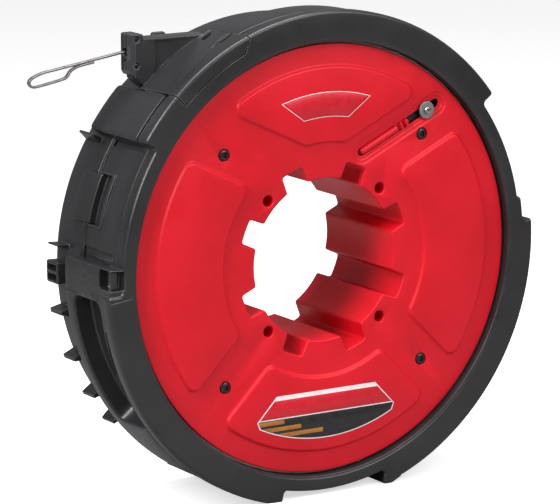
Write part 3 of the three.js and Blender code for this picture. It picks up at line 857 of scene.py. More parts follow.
def ring_front():
    """The whole front half of the ring, before the exit cover is parted from it."""
    bead = ring_outline(BEAD_R)
    face_levels = [(depth, FRONT + (y - FRONT) * 1.5) for depth, y in rounding(2.35, FRONT, 1, 7)]
    face_levels += [(0, BEAD_BACK - 0.6), (0.18, BEAD_BACK - 0.18), (0.6, BEAD_BACK)]
    face = plate(bead, 0, 0, [circle(LIP_R + 0.6)], levels=face_levels)
    parts = [
        face,
        ring(LIP_R, LIP_R + 3, FRONT + 0.6, 9, 0.9),
        slice_of(ring_outline(GROOVE_R), BEAD_BACK - OVERLAP, GROOVE_BACK + OVERLAP),
        slice_of(ring_outline(SIDE_R), GROOVE_BACK, POCKET_BACK, ease=0.8),
        slice_of(ring_outline(SIDE_R, PLATE_START), POCKET_BACK - OVERLAP, STEP_BACK, ease_back=1.2),
        slice_of(ring_outline(SIDE_R, PLATE_START, (PANEL_START, TOP_LOBE[1])), STEP_BACK - OVERLAP,
                 SEAM - 1.3, ease_back=JOINT_EASE),
        slice_of(circle(THIN_R), GROOVE_BACK, SEAM - 2.2),
        cap_patch(PANEL_START, TOP_LOBE[1], STEP_BACK - 7, PANEL_BACK, 3.5),
        cap_patch(PLATE_START, LEFT_LOBE[1], POCKET_BACK + 4, PLATE_BACK, 3.5, ease=2),
        cap_patch(RIGHT_LOBE[0], RIGHT_LOBE[1], STEP_BACK, SEAM + 0.5, 2.5),
    ]
    return joined(parts)


POCKET_CELLS = (PLATE_START + 0.3, LEFT_LOBE[0] - 1.1)


def corner_pocket():
    """The pair of open cells at the top of the left lobe, one facing out and one facing the front."""
    low, high = POCKET_CELLS
    side = wrapped(patch(low, high, FRONT + 2.6, BEAD_BACK + 6.4, 1.8),
                   [(1.0, THIN_R + 1.2), (0, THIN_R + 2.4), (0, BEAD_R + 4)])
    face = plate(sector(BEAD_R - 1.9, THIN_R - 1.5, low, high), 0, 0,
                 levels=[(0, FRONT - 1), (0, -1), (0.8, 0)])
    return side, face


def pocket_floors():
    """The polished floors of the two cells."""
    low, high = POCKET_CELLS[0] + 0.35, POCKET_CELLS[1] - 0.35
    side = wrapped(patch(low, high, FRONT + 3.7, BEAD_BACK + 5.3, 1),
                   [(0, THIN_R + 1.1), (0, THIN_R + 1.3), (0.2, THIN_R + 1.5)])
    face = plate(sector(BEAD_R - 3.2, THIN_R, low, high), 0, 0, levels=[(0.2, -0.5), (0, -0.3), (0, 0.1)])
    return side, face


def clip_frame(angle):
    """The raised rim of the front shell round a clip's window."""
    swing = CLIP_HALF + 0.5
    outline = patch(angle - swing, angle + swing, CLIP_WINDOW[0] - 3.2, CLIP_WINDOW[1] + 1, 2.4)
    return wrapped(outline, crowned(THIN_R - 1, THIN_R + 1.5, 0.8))


def recess_cuts():
    """The grooves at both ends of the nozzle's recess, the one along its seam and the lower ramp."""
    cuts = [wrapped(patch(*ends, GROOVE_BACK - 2, SEAM + 1, 0.8),
                    [(0.5, INNER_R + 0.6), (0.2, THIN_R - 1), (0, THIN_R + 0.2), (0, THIN_R + 1)])
            for ends in GUTTERS]
    cuts.append(wrapped(patch(*NOZZLE_RECESS, SEAM - 3, SEAM + 1.4, 0.6),
                        [(0, INNER_R + 0.6), (0, THIN_R - 0.7), (-0.6, THIN_R), (-0.6, THIN_R + 1)]))
    return cuts


def ramp_cut():
    """The slope that leads from the recess up to the plate on the left lobe."""
    foot_angle, head_angle = 173.2, PLATE_START + 0.1
    outline = [(foot_angle, SEAM + 2), (foot_angle, SEAM - 3), (174.9, SEAM - 9), (175.6, 11.5),
               (head_angle, 11.5), (head_angle, SEAM + 2)]
    return wrapped(outline, [(0, THIN_R - 2.2), (0, OUTSIDE)])


def plate_line_cuts():
    """The fine line that parts the plate from the hand slot's surround, on the side and on the face."""
    side = wrapped(patch(*PLATE_LINE, BEAD_BACK + 1, PLATE_BACK + 2), [(0, SIDE_R - 0.6), (0, OUTSIDE)])
    outline = arc(BEAD_R + 2, 183.45, 183.7) + flipped(arc(LIP_R + 4, 182.9, 183.15))
    return [side, plate(outline, FRONT - 1, FRONT + 0.5)]


def front_shell():
    filler = wrapped(patch(PLATE_START, LEFT_LOBE[0] + 9, FRONT + 1.4, POCKET_BACK + 2, 1.5),
                     crowned(THIN_R - 2, SIDE_R, 1.2))
    shell = joined([ring_front(), filler, *feet(FRONT + 0.5, SEAM - 0.5),
                    *(clip_frame(a) for a in CLIPS.values()), hand_slot_pocket()])
    cuts = [
        *recess_cuts(), hand_slot_cutter(), *corner_pocket(), TAPE_PASSAGE, ramp_cut(),
        cover_region(COVER_GAP, COVER_BACK + 0.5),
        *(wrapped(patch(a - CLIP_HALF, a + CLIP_HALF, *CLIP_WINDOW, 1.2), [(0, INNER_R - 4), (0, THIN_R + 4)])
          for a in CLIPS.values()),
        *plate_line_cuts(),
        *(disc(*polar(SHELL_SCREW_R, a), 1.5, 22, SEAM + 1, sides=12) for a in SHELL_SCREWS.values()),
    ]
    return above_floor(without(shell, cuts))


# ---- Rear shell -----------------------------------------------------------------------------------
RIM_TEETH = ((147.4, 148.8, 66, 84), (174.2, 175.2, 70, 84), (189.6, 192.2, 70, 86), (201.4, 203.8, 70, 86),
             (212, 214.2, 70, 86), (220.6, 222.6, 70, 86))
RIM_TAB = (178.4, 183.6, 70, 86)
REAR_RIBS = 24


def tooth(start, end, front, back):
    """A fin across the rear of the ring, leaning to its start."""
    low = THIN_R - 1.5
    swing = end - start
    outline = [polar(low, start), *arc(low, start, end)[1:], polar(THIN_R + 1, end),
               polar(SIDE_R - 2.5, end - 0.4 * swing), polar(SIDE_R, start + 0.5 * swing),
               polar(SIDE_R, start + 0.1 * swing)]
    return plate(outline, front, back, ease=0.3, ease_back=0.3)


def tab_cells():
    """The two open cells of the tab on the left."""
    start, end, front, back = RIM_TAB
    middle = (start + end) / 2
    return [wrapped(patch(low, high, front + 1.6, back - 1.6, 0.9),
                    [(0.5, THIN_R + 2), (0, THIN_R + 3), (0, BEAD_R)])
            for low, high in ((start + 0.7, middle - 0.3), (middle + 0.3, end - 0.6))]


def rear_shell():
    pad = PLATE_BACK + 1.2
    brow = wrapped(patch(PANEL_START + 0.4, TOP_LOBE[1] - 0.4, PANEL_BACK - 1, PANEL_BACK + 2, 1),
                   [(0, THIN_R - 1), (0, THIN_R + 1.2), (0.5, THIN_R + 1.8)])
    parts = [
        slice_of(circle(THIN_R), SEAM + 1.3, BACK, ease=JOINT_EASE, ease_back=1.4),
        ring(LIP_R, THIN_R - 1, BACK - WALL, BACK - 0.3, 0.5),
        ring(LIP_R, LIP_R + 2.5, DEPTH - 9, BACK - 0.4, 0.6),
        ring(INNER_R + 0.4, INNER_R + 1.8, SEAM - 0.4, SEAM + 2),
        cap_patch(243, LEFT_LOBE[1], pad, BACK - 0.6, 2),
        cap_patch(RIGHT_LOBE[0], 301, pad, BACK - 0.6, 2),
        cap_patch(*RIM_TAB, 1.5),
        brow,
        *feet(pad, BACK - 0.5),
    ]
    for i in range(REAR_RIBS):
        at = 360 * (i + 0.5) / REAR_RIBS
        parts.append(plate(sector(THIN_R - 1.8, LIP_R + 2, at - 0.3, at + 0.3), BACK - 1, BACK))
    parts += [tooth(*place) for place in RIM_TEETH]
    places = [polar(SHELL_SCREW_R, a) for a in SHELL_SCREWS.values()]
    parts += [disc(*place, 4.6, BACK - 6, BACK, 0.5) for place in places]
    cuts = [TAPE_PASSAGE, *tab_cells()]
    for place in places:
        cuts += [disc(*place, 1.6, SEAM - 2, BACK + 1, sides=16),
                 disc(*place, 2.9, BACK - 3, BACK + 1, sides=24)]
    cuts += [wrapped(patch(a - CLIP_HALF + 0.05, a + CLIP_HALF - 0.05, SEAM - 6, 69.5, 1.6),
                     [(0, THIN_R - 0.5), (0, BEAD_R)]) for a in CLIPS.values()]
    return above_floor(without(joined(parts), cuts))


# ---- Tape exit ------------------------------------------------------------------------------------
FUNNEL_TOP = 158.5
BLOCK_TOP = 162.2
BLOCK_X = (-128.7, -118.7)
BLOCK_FOOT = 136.5
FUNNEL_FOOT = (-119.6, 127.2)
CREASE_X = -109.8
NOZZLE_HALF = 8
NOZZLE_SCREWS = {"upper": 158.4, "lower": 140.4}
NOZZLE_SCREW_X = -123.6
GUIDE_HALF = 4.5
GUIDE_HOLE = 2.6
FUNNEL_FRONT = SEAM - NOZZLE_HALF
HALF_GAP = 0.15


def funnel_outline(inner):
    """The nozzle block and the funnel behind it, seen from the front."""
    (left, right), (toe_x, toe_z), cut = BLOCK_X, FUNNEL_FOOT, 0.8
    points = [(-69.5, FUNNEL_TOP), (right + 0.5, FUNNEL_TOP), (right, FUNNEL_TOP + 0.5),
              (right, BLOCK_TOP - cut), (right - cut, BLOCK_TOP), (left + cut, BLOCK_TOP),
              (left, BLOCK_TOP - cut), (left, BLOCK_FOOT + 0.6), (left + 0.5, BLOCK_FOOT - 0.2),
              (toe_x, toe_z + 0.6), (toe_x + 0.5, toe_z)]
    return points + arc(inner, 132.4, 114.6)


def chamfer(y, run, fall):
    """A three-sided prism that takes an upright corner off the nozzle block."""
    x = BLOCK_X[0] - 0.01
    return prism([(x, y), (x + run, y), (x, y + fall)], 120, 170)


def guide_cuts():
    """The seat of the tape guide and the opening in front of it."""
    sizes = ((GUIDE_HALF + 0.3, 0.8, 0.8), (GUIDE_HOLE + 0.4, -1, 3))
    return [block((BLOCK_X[0] + near, BLOCK_X[1] + far), (SEAM - half, SEAM + half),
                  (TAPE_Z - half, TAPE_Z + half))
            for half, near, far in sizes]


def funnel_hollow(front, back):
    points = [(-71.5, FUNNEL_TOP - 2), (BLOCK_X[1] + 2, FUNNEL_TOP - 2), (BLOCK_X[1] + 2, 132)]
    return plate(points + arc(THIN_R - 0.7, 131.2, 115.6), front, back)


def fixing_holes():
    cuts = []
    front = FUNNEL_FRONT
    for z in NOZZLE_SCREWS.values():
        cuts.append(disc(NOZZLE_SCREW_X, z, 1.1, SEAM - 12, SEAM + 5, sides=16))
        cuts.append(plate(circle(1.9, 15, (NOZZLE_SCREW_X, z)), 0, 0, levels=[
            (-0.5, front - 2), (-0.5, front - 0.01), (0, front + 0.5), (0, front + 1.5)]))
    return cuts


def nozzle_cuts(corner):
    """What is cut from both halves of the nozzle, with the half's own corner."""
    relief = block((BLOCK_X[0] - 1, BLOCK_X[0] + 2.2), (SEAM - 1.3, SEAM + 1.3), (TAPE_Z - 6.6, TAPE_Z - 4.4))
    return [*guide_cuts(), TAPE_PASSAGE, *fixing_holes(), corner, relief]


def vent(start, end, front, back, lean):
    """A slanted opening in the cover's outer face, with a sunk lip."""
    cut = 1.2
    points = [(start, front + lean), (start + 0.35, front + lean - cut), (end, front),
              (end + 0.3, front + cut), (end, back - lean), (end - 0.4, back - lean + cut), (start, back),
              (start - 0.3, back - cut)]
    return wrapped(points, [(0.4, SIDE_R - 6), (0.2, SIDE_R - 1.4), (0, SIDE_R - 0.6), (-0.4, SIDE_R),
                            (-0.4, BEAD_R + 4)])


def funnel_dish():
    """The shallow slope in the front of the funnel, behind its crease."""
    front = FUNNEL_FRONT
    return prism([(CREASE_X, front - 1), (CREASE_X, front + 0.15), (CREASE_X + 1.2, front + 1.5),
                  (-76, front + 0.4), (-74, front - 1)], TAPE_Z - 30, FUNNEL_TOP - 1.6)


def exit_cover(whole_ring):
    start, end = COVER_EDGE["start"], COVER_EDGE["end"]
    side_skin = plate(sector(BEAD_R - 0.1, THIN_R, start - 4, end + 3), 0, 0,
                      levels=[(0, BEAD_BACK - 2.5), (0, BEAD_BACK + 2), (1.5, POCKET_BACK + 6)])
    shell = (whole_ring + side_skin) & cover_region(0, COVER_BACK)
    tail = plate(arc(SIDE_R, start - 1.2, end) + flipped(arc(THIN_R + 0.7, start, end)),
                 STEP_BACK - 1.5, COVER_BACK, ease_back=1.4)
    funnel = plate(funnel_outline(SIDE_R - WALL), FUNNEL_FRONT, SEAM - HALF_GAP, ease=0.45)
    cuts = [
        funnel_hollow(FUNNEL_FRONT + 2.6, SEAM + 1),
        *nozzle_cuts(chamfer(FUNNEL_FRONT - 0.01, 4.2, 4.2)),
        vent(111.6, 115.8, 34, 45, 4.5), vent(112.2, 115.9, 11, 20, 3.5),
        wrapped([(116.4, 13), (118.4, 13.2), (116.4, 16.2)], [(0.3, SIDE_R - 1.6), (-0.2, SIDE_R + 2)]),
    ]
    return without(shell + tail + (funnel - funnel_dish()), cuts)


def nozzle_rear():
    back, top = SEAM + NOZZLE_HALF, FUNNEL_TOP
    body = plate(funnel_outline(THIN_R + 0.4), SEAM + HALF_GAP, back, ease_back=0.45)
    rib = plate([(-104, top - 1), (-93, top - 1), (-93.6, top + 1.2), (-95, top + 2), (-102.6, top + 2),
                 (-103.7, top + 1.2)], back - 3, back, ease=0.5, ease_back=0.5)
    cuts = [
        funnel_hollow(SEAM - 1, back - 2.4),
        *nozzle_cuts(chamfer(back + 0.01, 3.4, -3.0)),
        block((BLOCK_X[0] - 1, BLOCK_X[1] - 4), (SEAM, SEAM + 9), (125, 133.6)),
    ]
    return without(body + rib, cuts)


def tape_guide():
    """A square insert with a smooth flared mouth for the tape."""
    half, hole = GUIDE_HALF, GUIDE_HOLE
    square = rounded_box((SEAM - half, TAPE_Z - half), (SEAM + half, TAPE_Z + half), 0.8, 4)
    mouth = rounded_box((SEAM - hole, TAPE_Z - hole), (SEAM + hole, TAPE_Z + hole), 1.1, 4)
    front, back = BLOCK_X[0] + 1.15, BLOCK_X[1] + 0.4

    def place(p, x):
        return (x, p[0], p[1])

    outer = loft([square], [(0.3, front), (0, front + 0.3), (0, back - 0.3), (0.3, back)], place)
    bore = loft([mouth], [(-0.9, front - 1), (-0.9, front), (-0.25, front + 0.6), (0, front + 1.6),
                          (0, back - 1.5), (-0.9, back + 0.1), (-0.9, back + 1)], place)
    return outer - bore


def small_screw(x, z, r, front, length, socket, proud=1.2):
    """A domed head on a shank, with a lobed socket. proud is how far the head stands up."""
    dome = ((0.42, 0), (0.2, 0.12), (0.05, 0.42), (0, 1))
    head = plate(circle(r, 12, (x, z)), 0, 0, levels=[(r * a, front + proud * b) for a, b in dome])
    shank = disc(x, z, r * 0.55, front + proud - OVERLAP, front + length, sides=20)
    drive = plate(star(socket, socket * 0.7, (x, z)), front - 1, front + proud * 0.85)
    return (head + shank) - drive


# ---- Clips ----------------------------------------------------------------------------------------
def snap_clip(angle):
    """A tongue on the rear half, its hook in the front half's window and the blade under the window."""
    start, end = angle - CLIP_HALF + 0.25, angle + CLIP_HALF - 0.25
    hook_back = CLIP_WINDOW[1] - 0.3
    tongue = wrapped(patch(start, end, hook_back - 2.4, 69, 1.5),
                     crowned(THIN_R + 0.3, THIN_R + 2, 0.7))
    hook = wrapped(patch(start, end, hook_back - 2.4, hook_back), [(0, INNER_R - 2), (0, THIN_R + 1)])
    foot_lip = wrapped(patch(start - 0.8, end + 0.8, CLIP_WINDOW[0] - 1.5, SEAM - 1.2),
                       [(0, INNER_R - 2), (0, INNER_R - 0.3)])
    return joined([tongue, hook, foot_lip])


# ---- Drum -----------------------------------------------------------------------------------------
def hub_outline(grow):
    """The keyed bore: eight lobes with a keyway between each two, grown outward by that much."""
    lobe_r, floor_r, half = BORE_R + grow, KEYWAY_R + grow, KEYWAY_HALF + grow
    pitch = 360 / KEYWAYS
    at_lobe, at_floor = (math.degrees(math.asin(half / r)) for r in (lobe_r, floor_r))
    ease_out, ease_in = math.degrees(1.6 / lobe_r), math.degrees(1.6 / floor_r)
    flank = [(lobe_r + 0.3, at_lobe + ease_out * 0.45), (lobe_r + 1.1, at_lobe), (floor_r - 1.4, at_floor),
             (floor_r - 0.4, at_floor - ease_in * 0.4)]
    points = []
    for i in range(KEYWAYS):
        key = pitch * (i + 0.5)
        points += arc(lobe_r, key - pitch + at_lobe + ease_out, key - at_lobe - ease_out)
        points += [polar(r, key - away) for r, away in flank]
        points += arc(floor_r, key - at_floor + ease_in, key + at_floor - ease_in)
        points += [polar(r, key + away) for r, away in reversed(flank)]
    return points


PANEL = {"inner": 81.6, "outer": 137.4, "spoke": 15.2, "top": 65.3, "side": 27.0, "fillet": 8.0, "slope": 2.9}


def line_of(tilt, offset):
    """A straight boundary: material where normal . p >= offset."""
    turn = math.radians(tilt)
    return ("line", (-math.sin(turn), math.cos(turn)), offset)


def reverse_line(line):
    return ("line", (-line[1][0], -line[1][1]), -line[2])


def fillet_between(first, second, near, radius):
    """Centre of the circle that touches both boundaries from inside, and its two touching points."""
    lines = [e for e in (first, second) if e[0] == "line"]
    if len(lines) == 2:
        (n1, c1), (n2, c2) = ((e[1], e[2] + radius) for e in lines)
        det = n1[0] * n2[1] - n1[1] * n2[0]
        centre = ((c1 * n2[1] - c2 * n1[1]) / det, (n1[0] * c2 - n2[0] * c1) / det)
    else:
        bow = first if first[0] != "line" else second
        normal, offset = lines[0][1], lines[0][2] + radius
        reach = bow[1] - radius if bow[0] == "outer" else bow[1] + radius
        side = math.sqrt(reach ** 2 - offset ** 2)
        options = [(normal[0] * offset - normal[1] * side * s, normal[1] * offset + normal[0] * side * s)
                   for s in (1, -1)]
        centre = min(options, key=lambda q: (q[0] - near[0]) ** 2 + (q[1] - near[1]) ** 2)
    touches = []
    for boundary in (first, second):
        if boundary[0] == "line":
            touches.append((centre[0] - boundary[1][0] * radius, centre[1] - boundary[1][1] * radius))
        else:
            length = math.hypot(*centre)
            touches.append((centre[0] * boundary[1] / length, centre[1] * boundary[1] / length))
    return centre, touches[0], touches[1]


def bounded(boundaries, hints, radius):
    """A closed outline inside a ring of boundaries, every corner filleted. hints lie near the corners."""
    count = len(boundaries)
    corners = [fillet_between(boundaries[i], boundaries[(i + 1) % count], hints[i], radius)
               for i in range(count)]
    points = []
    for i, (centre, enter, leave) in enumerate(corners):
        first = math.degrees(math.atan2(enter[1] - centre[1], enter[0] - centre[0]))
        last = math.degrees(math.atan2(leave[1] - centre[1], leave[0] - centre[0]))
        swing = (last - first) % 360
        pieces = max(3, round(swing / 9))
        for k in range(pieces + 1):
            x, z = polar(radius, first + swing * k / pieces)
            points.append((x + centre[0], z + centre[1]))
        kind, reach = boundaries[(i + 1) % count][:2]
        arrive = corners[(i + 1) % count][1]
        if kind != "line":
            start = math.degrees(math.atan2(leave[1], leave[0]))
            bow = (math.degrees(math.atan2(arrive[1], arrive[0])) - start) % 360
            points += arc(reach, start, start + (bow if kind == "outer" else bow - 360))[1:-1]
    return points


def raised_panels():
    """The four panels on the flange. The angles lie near each panel's corners, outer, inner, inner, outer."""
    outer, inner = ("outer", PANEL["outer"]), ("inner", PANEL["inner"])
    top_right, top_left = line_of(SLOT_TILT, PANEL["top"]), line_of(-SLOT_TILT, PANEL["top"])
    side_right = reverse_line(line_of(SLOT_TILT, PANEL["side"]))
    side_left = reverse_line(line_of(-SLOT_TILT, PANEL["side"]))
    spokes = [line_of(tilt, PANEL["spoke"]) for tilt in (-45, 45, 135, 225)]
    low_right, low_left, foot_right, foot_left = spokes
    panels = [
        ([outer, top_left, inner, top_right], (125, 110, 70, 55)),
        ([outer, side_right, inner, low_right], (36, 43, -33, -38)),
        ([outer, low_left, inner, side_left], (218, 213, 137, 144)),
        ([outer, foot_right, inner, foot_left], (308, 303, 237, 232)),
    ]
    reach = [PANEL[key] for key in ("outer", "inner", "inner", "outer")]
    return [bounded(edges, [polar(r, a) for r, a in zip(reach, angles)], PANEL["fillet"])
            for edges, angles in panels]


def panel_levels():
    """The panel's soft slope: half a cosine wave from the flat top down to the flange."""
    count = 8
    levels = []
    for k in range(count, -1, -1):
        share = k / count
        levels.append((PANEL["slope"] * share, -PANEL_PROUD * (0.5 - 0.5 * math.cos(math.pi * share))))
    return levels + [(0, 0.6)]


HUB_HOLE = {"circle": 65, "r": 4.1, "depth": 24}
JOURNAL = (144.5, 147.4)
# The anchor slot and its two ledges: how much wider each is than the slot, and its levels.
SLOT_LEDGES = ((4.8, [(-1.1, -2), (-1.1, -0.01), (-0.7, 0.1), (-0.2, 0.45), (0, 0.9), (0.5, 1.0)]),
               (2.4, [(-0.5, -2), (-0.5, 0.98), (-0.1, 1.2), (0, 1.6), (0.3, 1.8)]),
               (0, [(-0.4, -2), (-0.4, 1.75), (0, 2.1), (0, FLANGE_T + 1)]))


def drum_front():
    parts = [plate(circle(FLANGE_R), 0, FLANGE_T, [hub_outline(0)], ease=0.9)]
    parts += [plate(outline, 0, 0, levels=panel_levels()) for outline in raised_panels()]
    parts += [
        plate(hub_outline(HUB_WALL), 1.1, DEPTH, [hub_outline(0)], ease_back=0.9),
        plate(circle(KEYWAY_R + HUB_WALL + 3), DEPTH - FLANGE_T, DEPTH, [hub_outline(0.01)], ease_back=0.9),
        ring(*JOURNAL, FLANGE_T - 0.5, 9),
    ]
    cuts = []
    for angle in FACE_SCREWS:
        hub, face = polar(HUB_HOLE["circle"], angle), polar(SCREW_CIRCLE, angle)
        parts.append(disc(*hub, HUB_HOLE["r"] + 2, 1.2, HUB_HOLE["depth"] + 2))
        cuts += [
            plate(circle(HUB_HOLE["r"], 9, hub), 0, 0, levels=[
                (-0.7, -2), (-0.7, -0.01), (-0.2, 0.2), (0, 0.7), (0, HUB_HOLE["depth"])]),
            disc(*face, 2.6, -1, FLANGE_T + 1, sides=24),
            plate(circle(4.4, 9, face), 0, 0, levels=[
                (-0.6, -2), (-0.6, -0.01), (-0.15, 0.15), (0, 0.6), (0, 1.5)]),
        ]
    start, end = SLOT
    cuts += [slot_plate(stadium(start - grow, end + grow, SLOT_HALF + grow), levels=levels)
             for grow, levels in SLOT_LEDGES]
    return without(joined(parts), cuts)


FLANGE_RIBS = 16


def drum_rear():
    inner = KEYWAY_R + HUB_WALL + 3.3
    parts = [ring(inner, FLANGE_R, DEPTH - FLANGE_T, DEPTH, 0.8),
             ring(*JOURNAL, DEPTH - 9, DEPTH - FLANGE_T + 0.5)]
    parts += [ring(r, r + 2.4, DEPTH - 1, DEPTH + 0.7, 0.5) for r in (100, 138)]
    for i in range(FLANGE_RIBS):
        at = 360 * (i + 0.5) / FLANGE_RIBS
        bar = plate(rounded_box((78, -1.1), (146, 1.1), 0.6, 3), DEPTH - 1, DEPTH + 0.6, ease_back=0.4)
        parts.append(bar.swung(at))
    for angle in FACE_SCREWS:
        parts.append(disc(*polar(SCREW_CIRCLE, angle), 5.5, FLANGE_T + 0.3, DEPTH - 1))
    cuts = [disc(*polar(SCREW_CIRCLE, a), 2.3, -1, 34, sides=20) for a in FACE_SCREWS]
    return without(joined(parts), cuts)


PACK = {"layers": 3, "turns": 15, "pitch": 3.05, "core": 130.5, "sides": 90}


def wound_turns():
    """Three layers of fifteen turns, each its own closed band of tape."""
    verts, faces = [], []
    for layer in range(PACK["layers"]):
        for number in range(PACK["turns"]):
            y = SEAM + (number - (PACK["turns"] - 1) / 2) * PACK["pitch"]
            r = PACK["core"] + layer * TAPE_T
            section = rounded_box((r, y - TAPE_W / 2), (r + TAPE_T - 0.05, y + TAPE_W / 2), 0.3, 1)
            faces += skin(PACK["sides"], len(section), len(verts))
            verts += spun(section, PACK["sides"])
    return Solid.of(verts, faces)


def face_screw(angle):
    x, z = polar(SCREW_CIRCLE, angle)
    return small_screw(x, z, 3.9, -0.6, 30, 2.3, 1.6)


# ---- Labels ---------------------------------------------------------------------------------------
LABEL_BACK = -PANEL_PROUD - 0.02
FILM = 0.16
INK = 0.05


def fan_angle(x, r):
    return math.degrees(math.acos(x / r))


def top_fan():
    """The upper label: a fan between two arcs with straight slanted ends."""
    outer, inner, wide, narrow = 118.4, 100.8, 37.7, 18.2
    high = arc(outer, fan_angle(wide, outer), fan_angle(-wide, outer))
    return high[1:-1] + arc(inner, fan_angle(-narrow, inner), fan_angle(narrow, inner))


def lower_outline(shrink):
    """The lower label: a straight top, slanted ends and an arc below."""
    r = 127 - shrink
    wide, top = 57 - shrink, -92.5 - shrink
    arc_x = 55 - shrink
    low = arc(r, 360 - fan_angle(-arc_x, r), 360 - fan_angle(arc_x, r))
    return low + [(wide, -109.5), (41 - shrink * 0.6, top), (-41 + shrink * 0.6, top), (-wide, -109.5)]


def clipped(outline, level, side, axis=1):
    """The part of an outline on one side of a level."""
    kept = []
    for i, point in enumerate(outline):
        last = outline[i - 1]
        inside, was = (point[axis] - level) * side > 0, (last[axis] - level) * side > 0
        if inside != was:
            share = (level - last[axis]) / (point[axis] - last[axis])
            kept.append(tuple(a + (b - a) * share for a, b in zip(last, point)))
        if inside:
            kept.append(point)
    return kept


def band(outline, low, high):
    """The part of an outline between two levels."""
    return clipped(clipped(outline, low, 1), high, -1)


def film(outline, back, thick=INK):
    return plate(outline, back - thick, back, ease=min(0.02, thick / 2))


RED_BAND = (-108.2, -95.6)
BLACK_TOP = -109.0
AMBER_BLOCKS = {"upper": (-35, -112.6), "middle": (-21, -117.4), "lower": (-3, -122.2)}
AMBER_HIGH = 3


def add_labels():
    base = LABEL_BACK - FILM
    piece("top_label_border", film(top_fan(), LABEL_BACK, FILM), PRINT_WHITE, "drum", "red_label",
          "top_label")
    piece("top_label_field", film(inset(top_fan(), 0.45), base), PRINT_RED, "drum", "red_label")
    piece("bottom_label_border", film(lower_outline(0), LABEL_BACK, FILM), PRINT_WHITE, "drum", "black_label",
          "bottom_label")
    field = lower_outline(0.8)
    piece("bottom_label_red_field", film(band(field, *RED_BAND), base), PRINT_RED, "drum", "black_label")
    piece("bottom_label_black_field", film(clipped(field, BLACK_TOP, -1), base), PRINT_BLACK, "drum",
          "black_label")
    for name, (end, low) in AMBER_BLOCKS.items():
        stripe = clipped(band(inset(field, 0.3), low, low + AMBER_HIGH), end, -1, 0)
        piece(f"bottom_label_amber_{name}", film(stripe, base - INK), PRINT_AMBER, "drum", "black_label")


# ---- Tape anchor ----------------------------------------------------------------------------------
def anchor_slider():
    """The bar in the slot, with two ribs and a notch before each."""
    half = SLOT_HALF - 0.45
    bar = slot_plate(stadium(59, 103.6, half), levels=[
        (half * 0.86, 0.35), (half * 0.6, 0.5), (half * 0.3, 0.95), (half * 0.08, 1.7), (0, 2.6), (0, 4.2)])
    ribs = [slot_plate(rounded_box((s, -half), (s + 1.5, half), 0.4, 3), -0.4, 2.6, ease=0.35)
            for s in (95.4, 100)]
    notches = [slot_plate(rounded_box((s, -half - 1), (s + 2.8, half + 1), 0.3, 3), -1, 2.9)
               for s in (92.4, 97)]
    return without(bar, notches) + joined(ribs)


def anchor_runner():
    """The flat strip behind the flange that carries the bar and takes the screw."""
    strip = slot_plate(rounded_box((66, -4), (122.5, 4), 1.2, 4), 4.15, 6.4, ease=0.3)
    return strip - slot_plate(circle(1.8, 18, (WASHER_AT, 0)), 3, 8)


def washer():
    hole = circle(1.9, 15, (WASHER_AT, 0))
    return slot_plate(circle(6.1, 7.5, (WASHER_AT, 0)), holes=[hole], levels=[
        (0.3, -0.7), (0.1, -0.64), (0, -0.5), (0, 0.5), (0.1, 0.64), (0.3, 0.7)])


def anchor_screw():
    x, z = along_slot((WASHER_AT, 0))
    return small_screw(x, z, 2.6, -2.6, 14.4, 1.5, 1.85)


# ---- Tape -----------------------------------------------------------------------------------------
DROOP = 8.4
LEVEL_END = -130


def drooping(x):
    """A point of the free tape, which slopes down from the guide."""
    return (x, TAPE_Z - (LEVEL_END - x) * math.tan(math.radians(DROOP)))


def smoothed(points, pieces=6):
    """A curve through the points."""
    out = []
    for i in range(len(points) - 1):
        p0 = Vector(points[max(i - 1, 0)])
        p1, p2 = Vector(points[i]), Vector(points[i + 1])
        p3 = Vector(points[min(i + 2, len(points) - 1)])
        for k in range(pieces):
            t = k / pieces
            out.append(0.5 * ((2 * p1) + (p2 - p0) * t + (2 * p0 - 5 * p1 + 4 * p2 - p3) * t * t
                              + (3 * p1 - p0 - 3 * p2 + p3) * t * t * t))
    out.append(Vector(points[-1]))
    return out


def tape_leader():
    """The tape from the drum through the guide, sloping down, and folded back into an eye at its end."""
    lead = [(-40, TAPE_Z), (-90, TAPE_Z), (-126, TAPE_Z), (-132, TAPE_Z - 0.25)]
    lead += [drooping(x) for x in (-140, -160, -184, -192)]
    eye = [(-198.4, 138.4), (-201.7, 136.6), (-202.8, 134.3), (-201.5, 132.1), (-198.2, 131.3), (-187, 133),
           (-177, 134.9), (-174, 136.3), (-171.4, 139.6), (-168.4, 141.5), (-164, 142.9), (-153, 144.6)]
    path = smoothed(lead + eye)
    half_w, half_t = TAPE_W / 2, TAPE_T / 2
    section = rounded_box((-half_w, -half_t), (half_w, half_t), 0.32, 3)
    verts = []
    for i, point in enumerate(path):
        along = (path[min(i + 1, len(path) - 1)] - path[max(i - 1, 0)]).normalized()
        across = Vector((-along.y, along.x))
        for y, t in section:
            spot = point + across * t
            verts.append((spot.x, SEAM + y, spot.y))
    first, count = list(range(len(section))), len(verts)
    faces = skin(len(path), len(first), closed=False)
    return Solid.of(verts, faces + [flipped(first), [count - len(first) + k for k in first]])


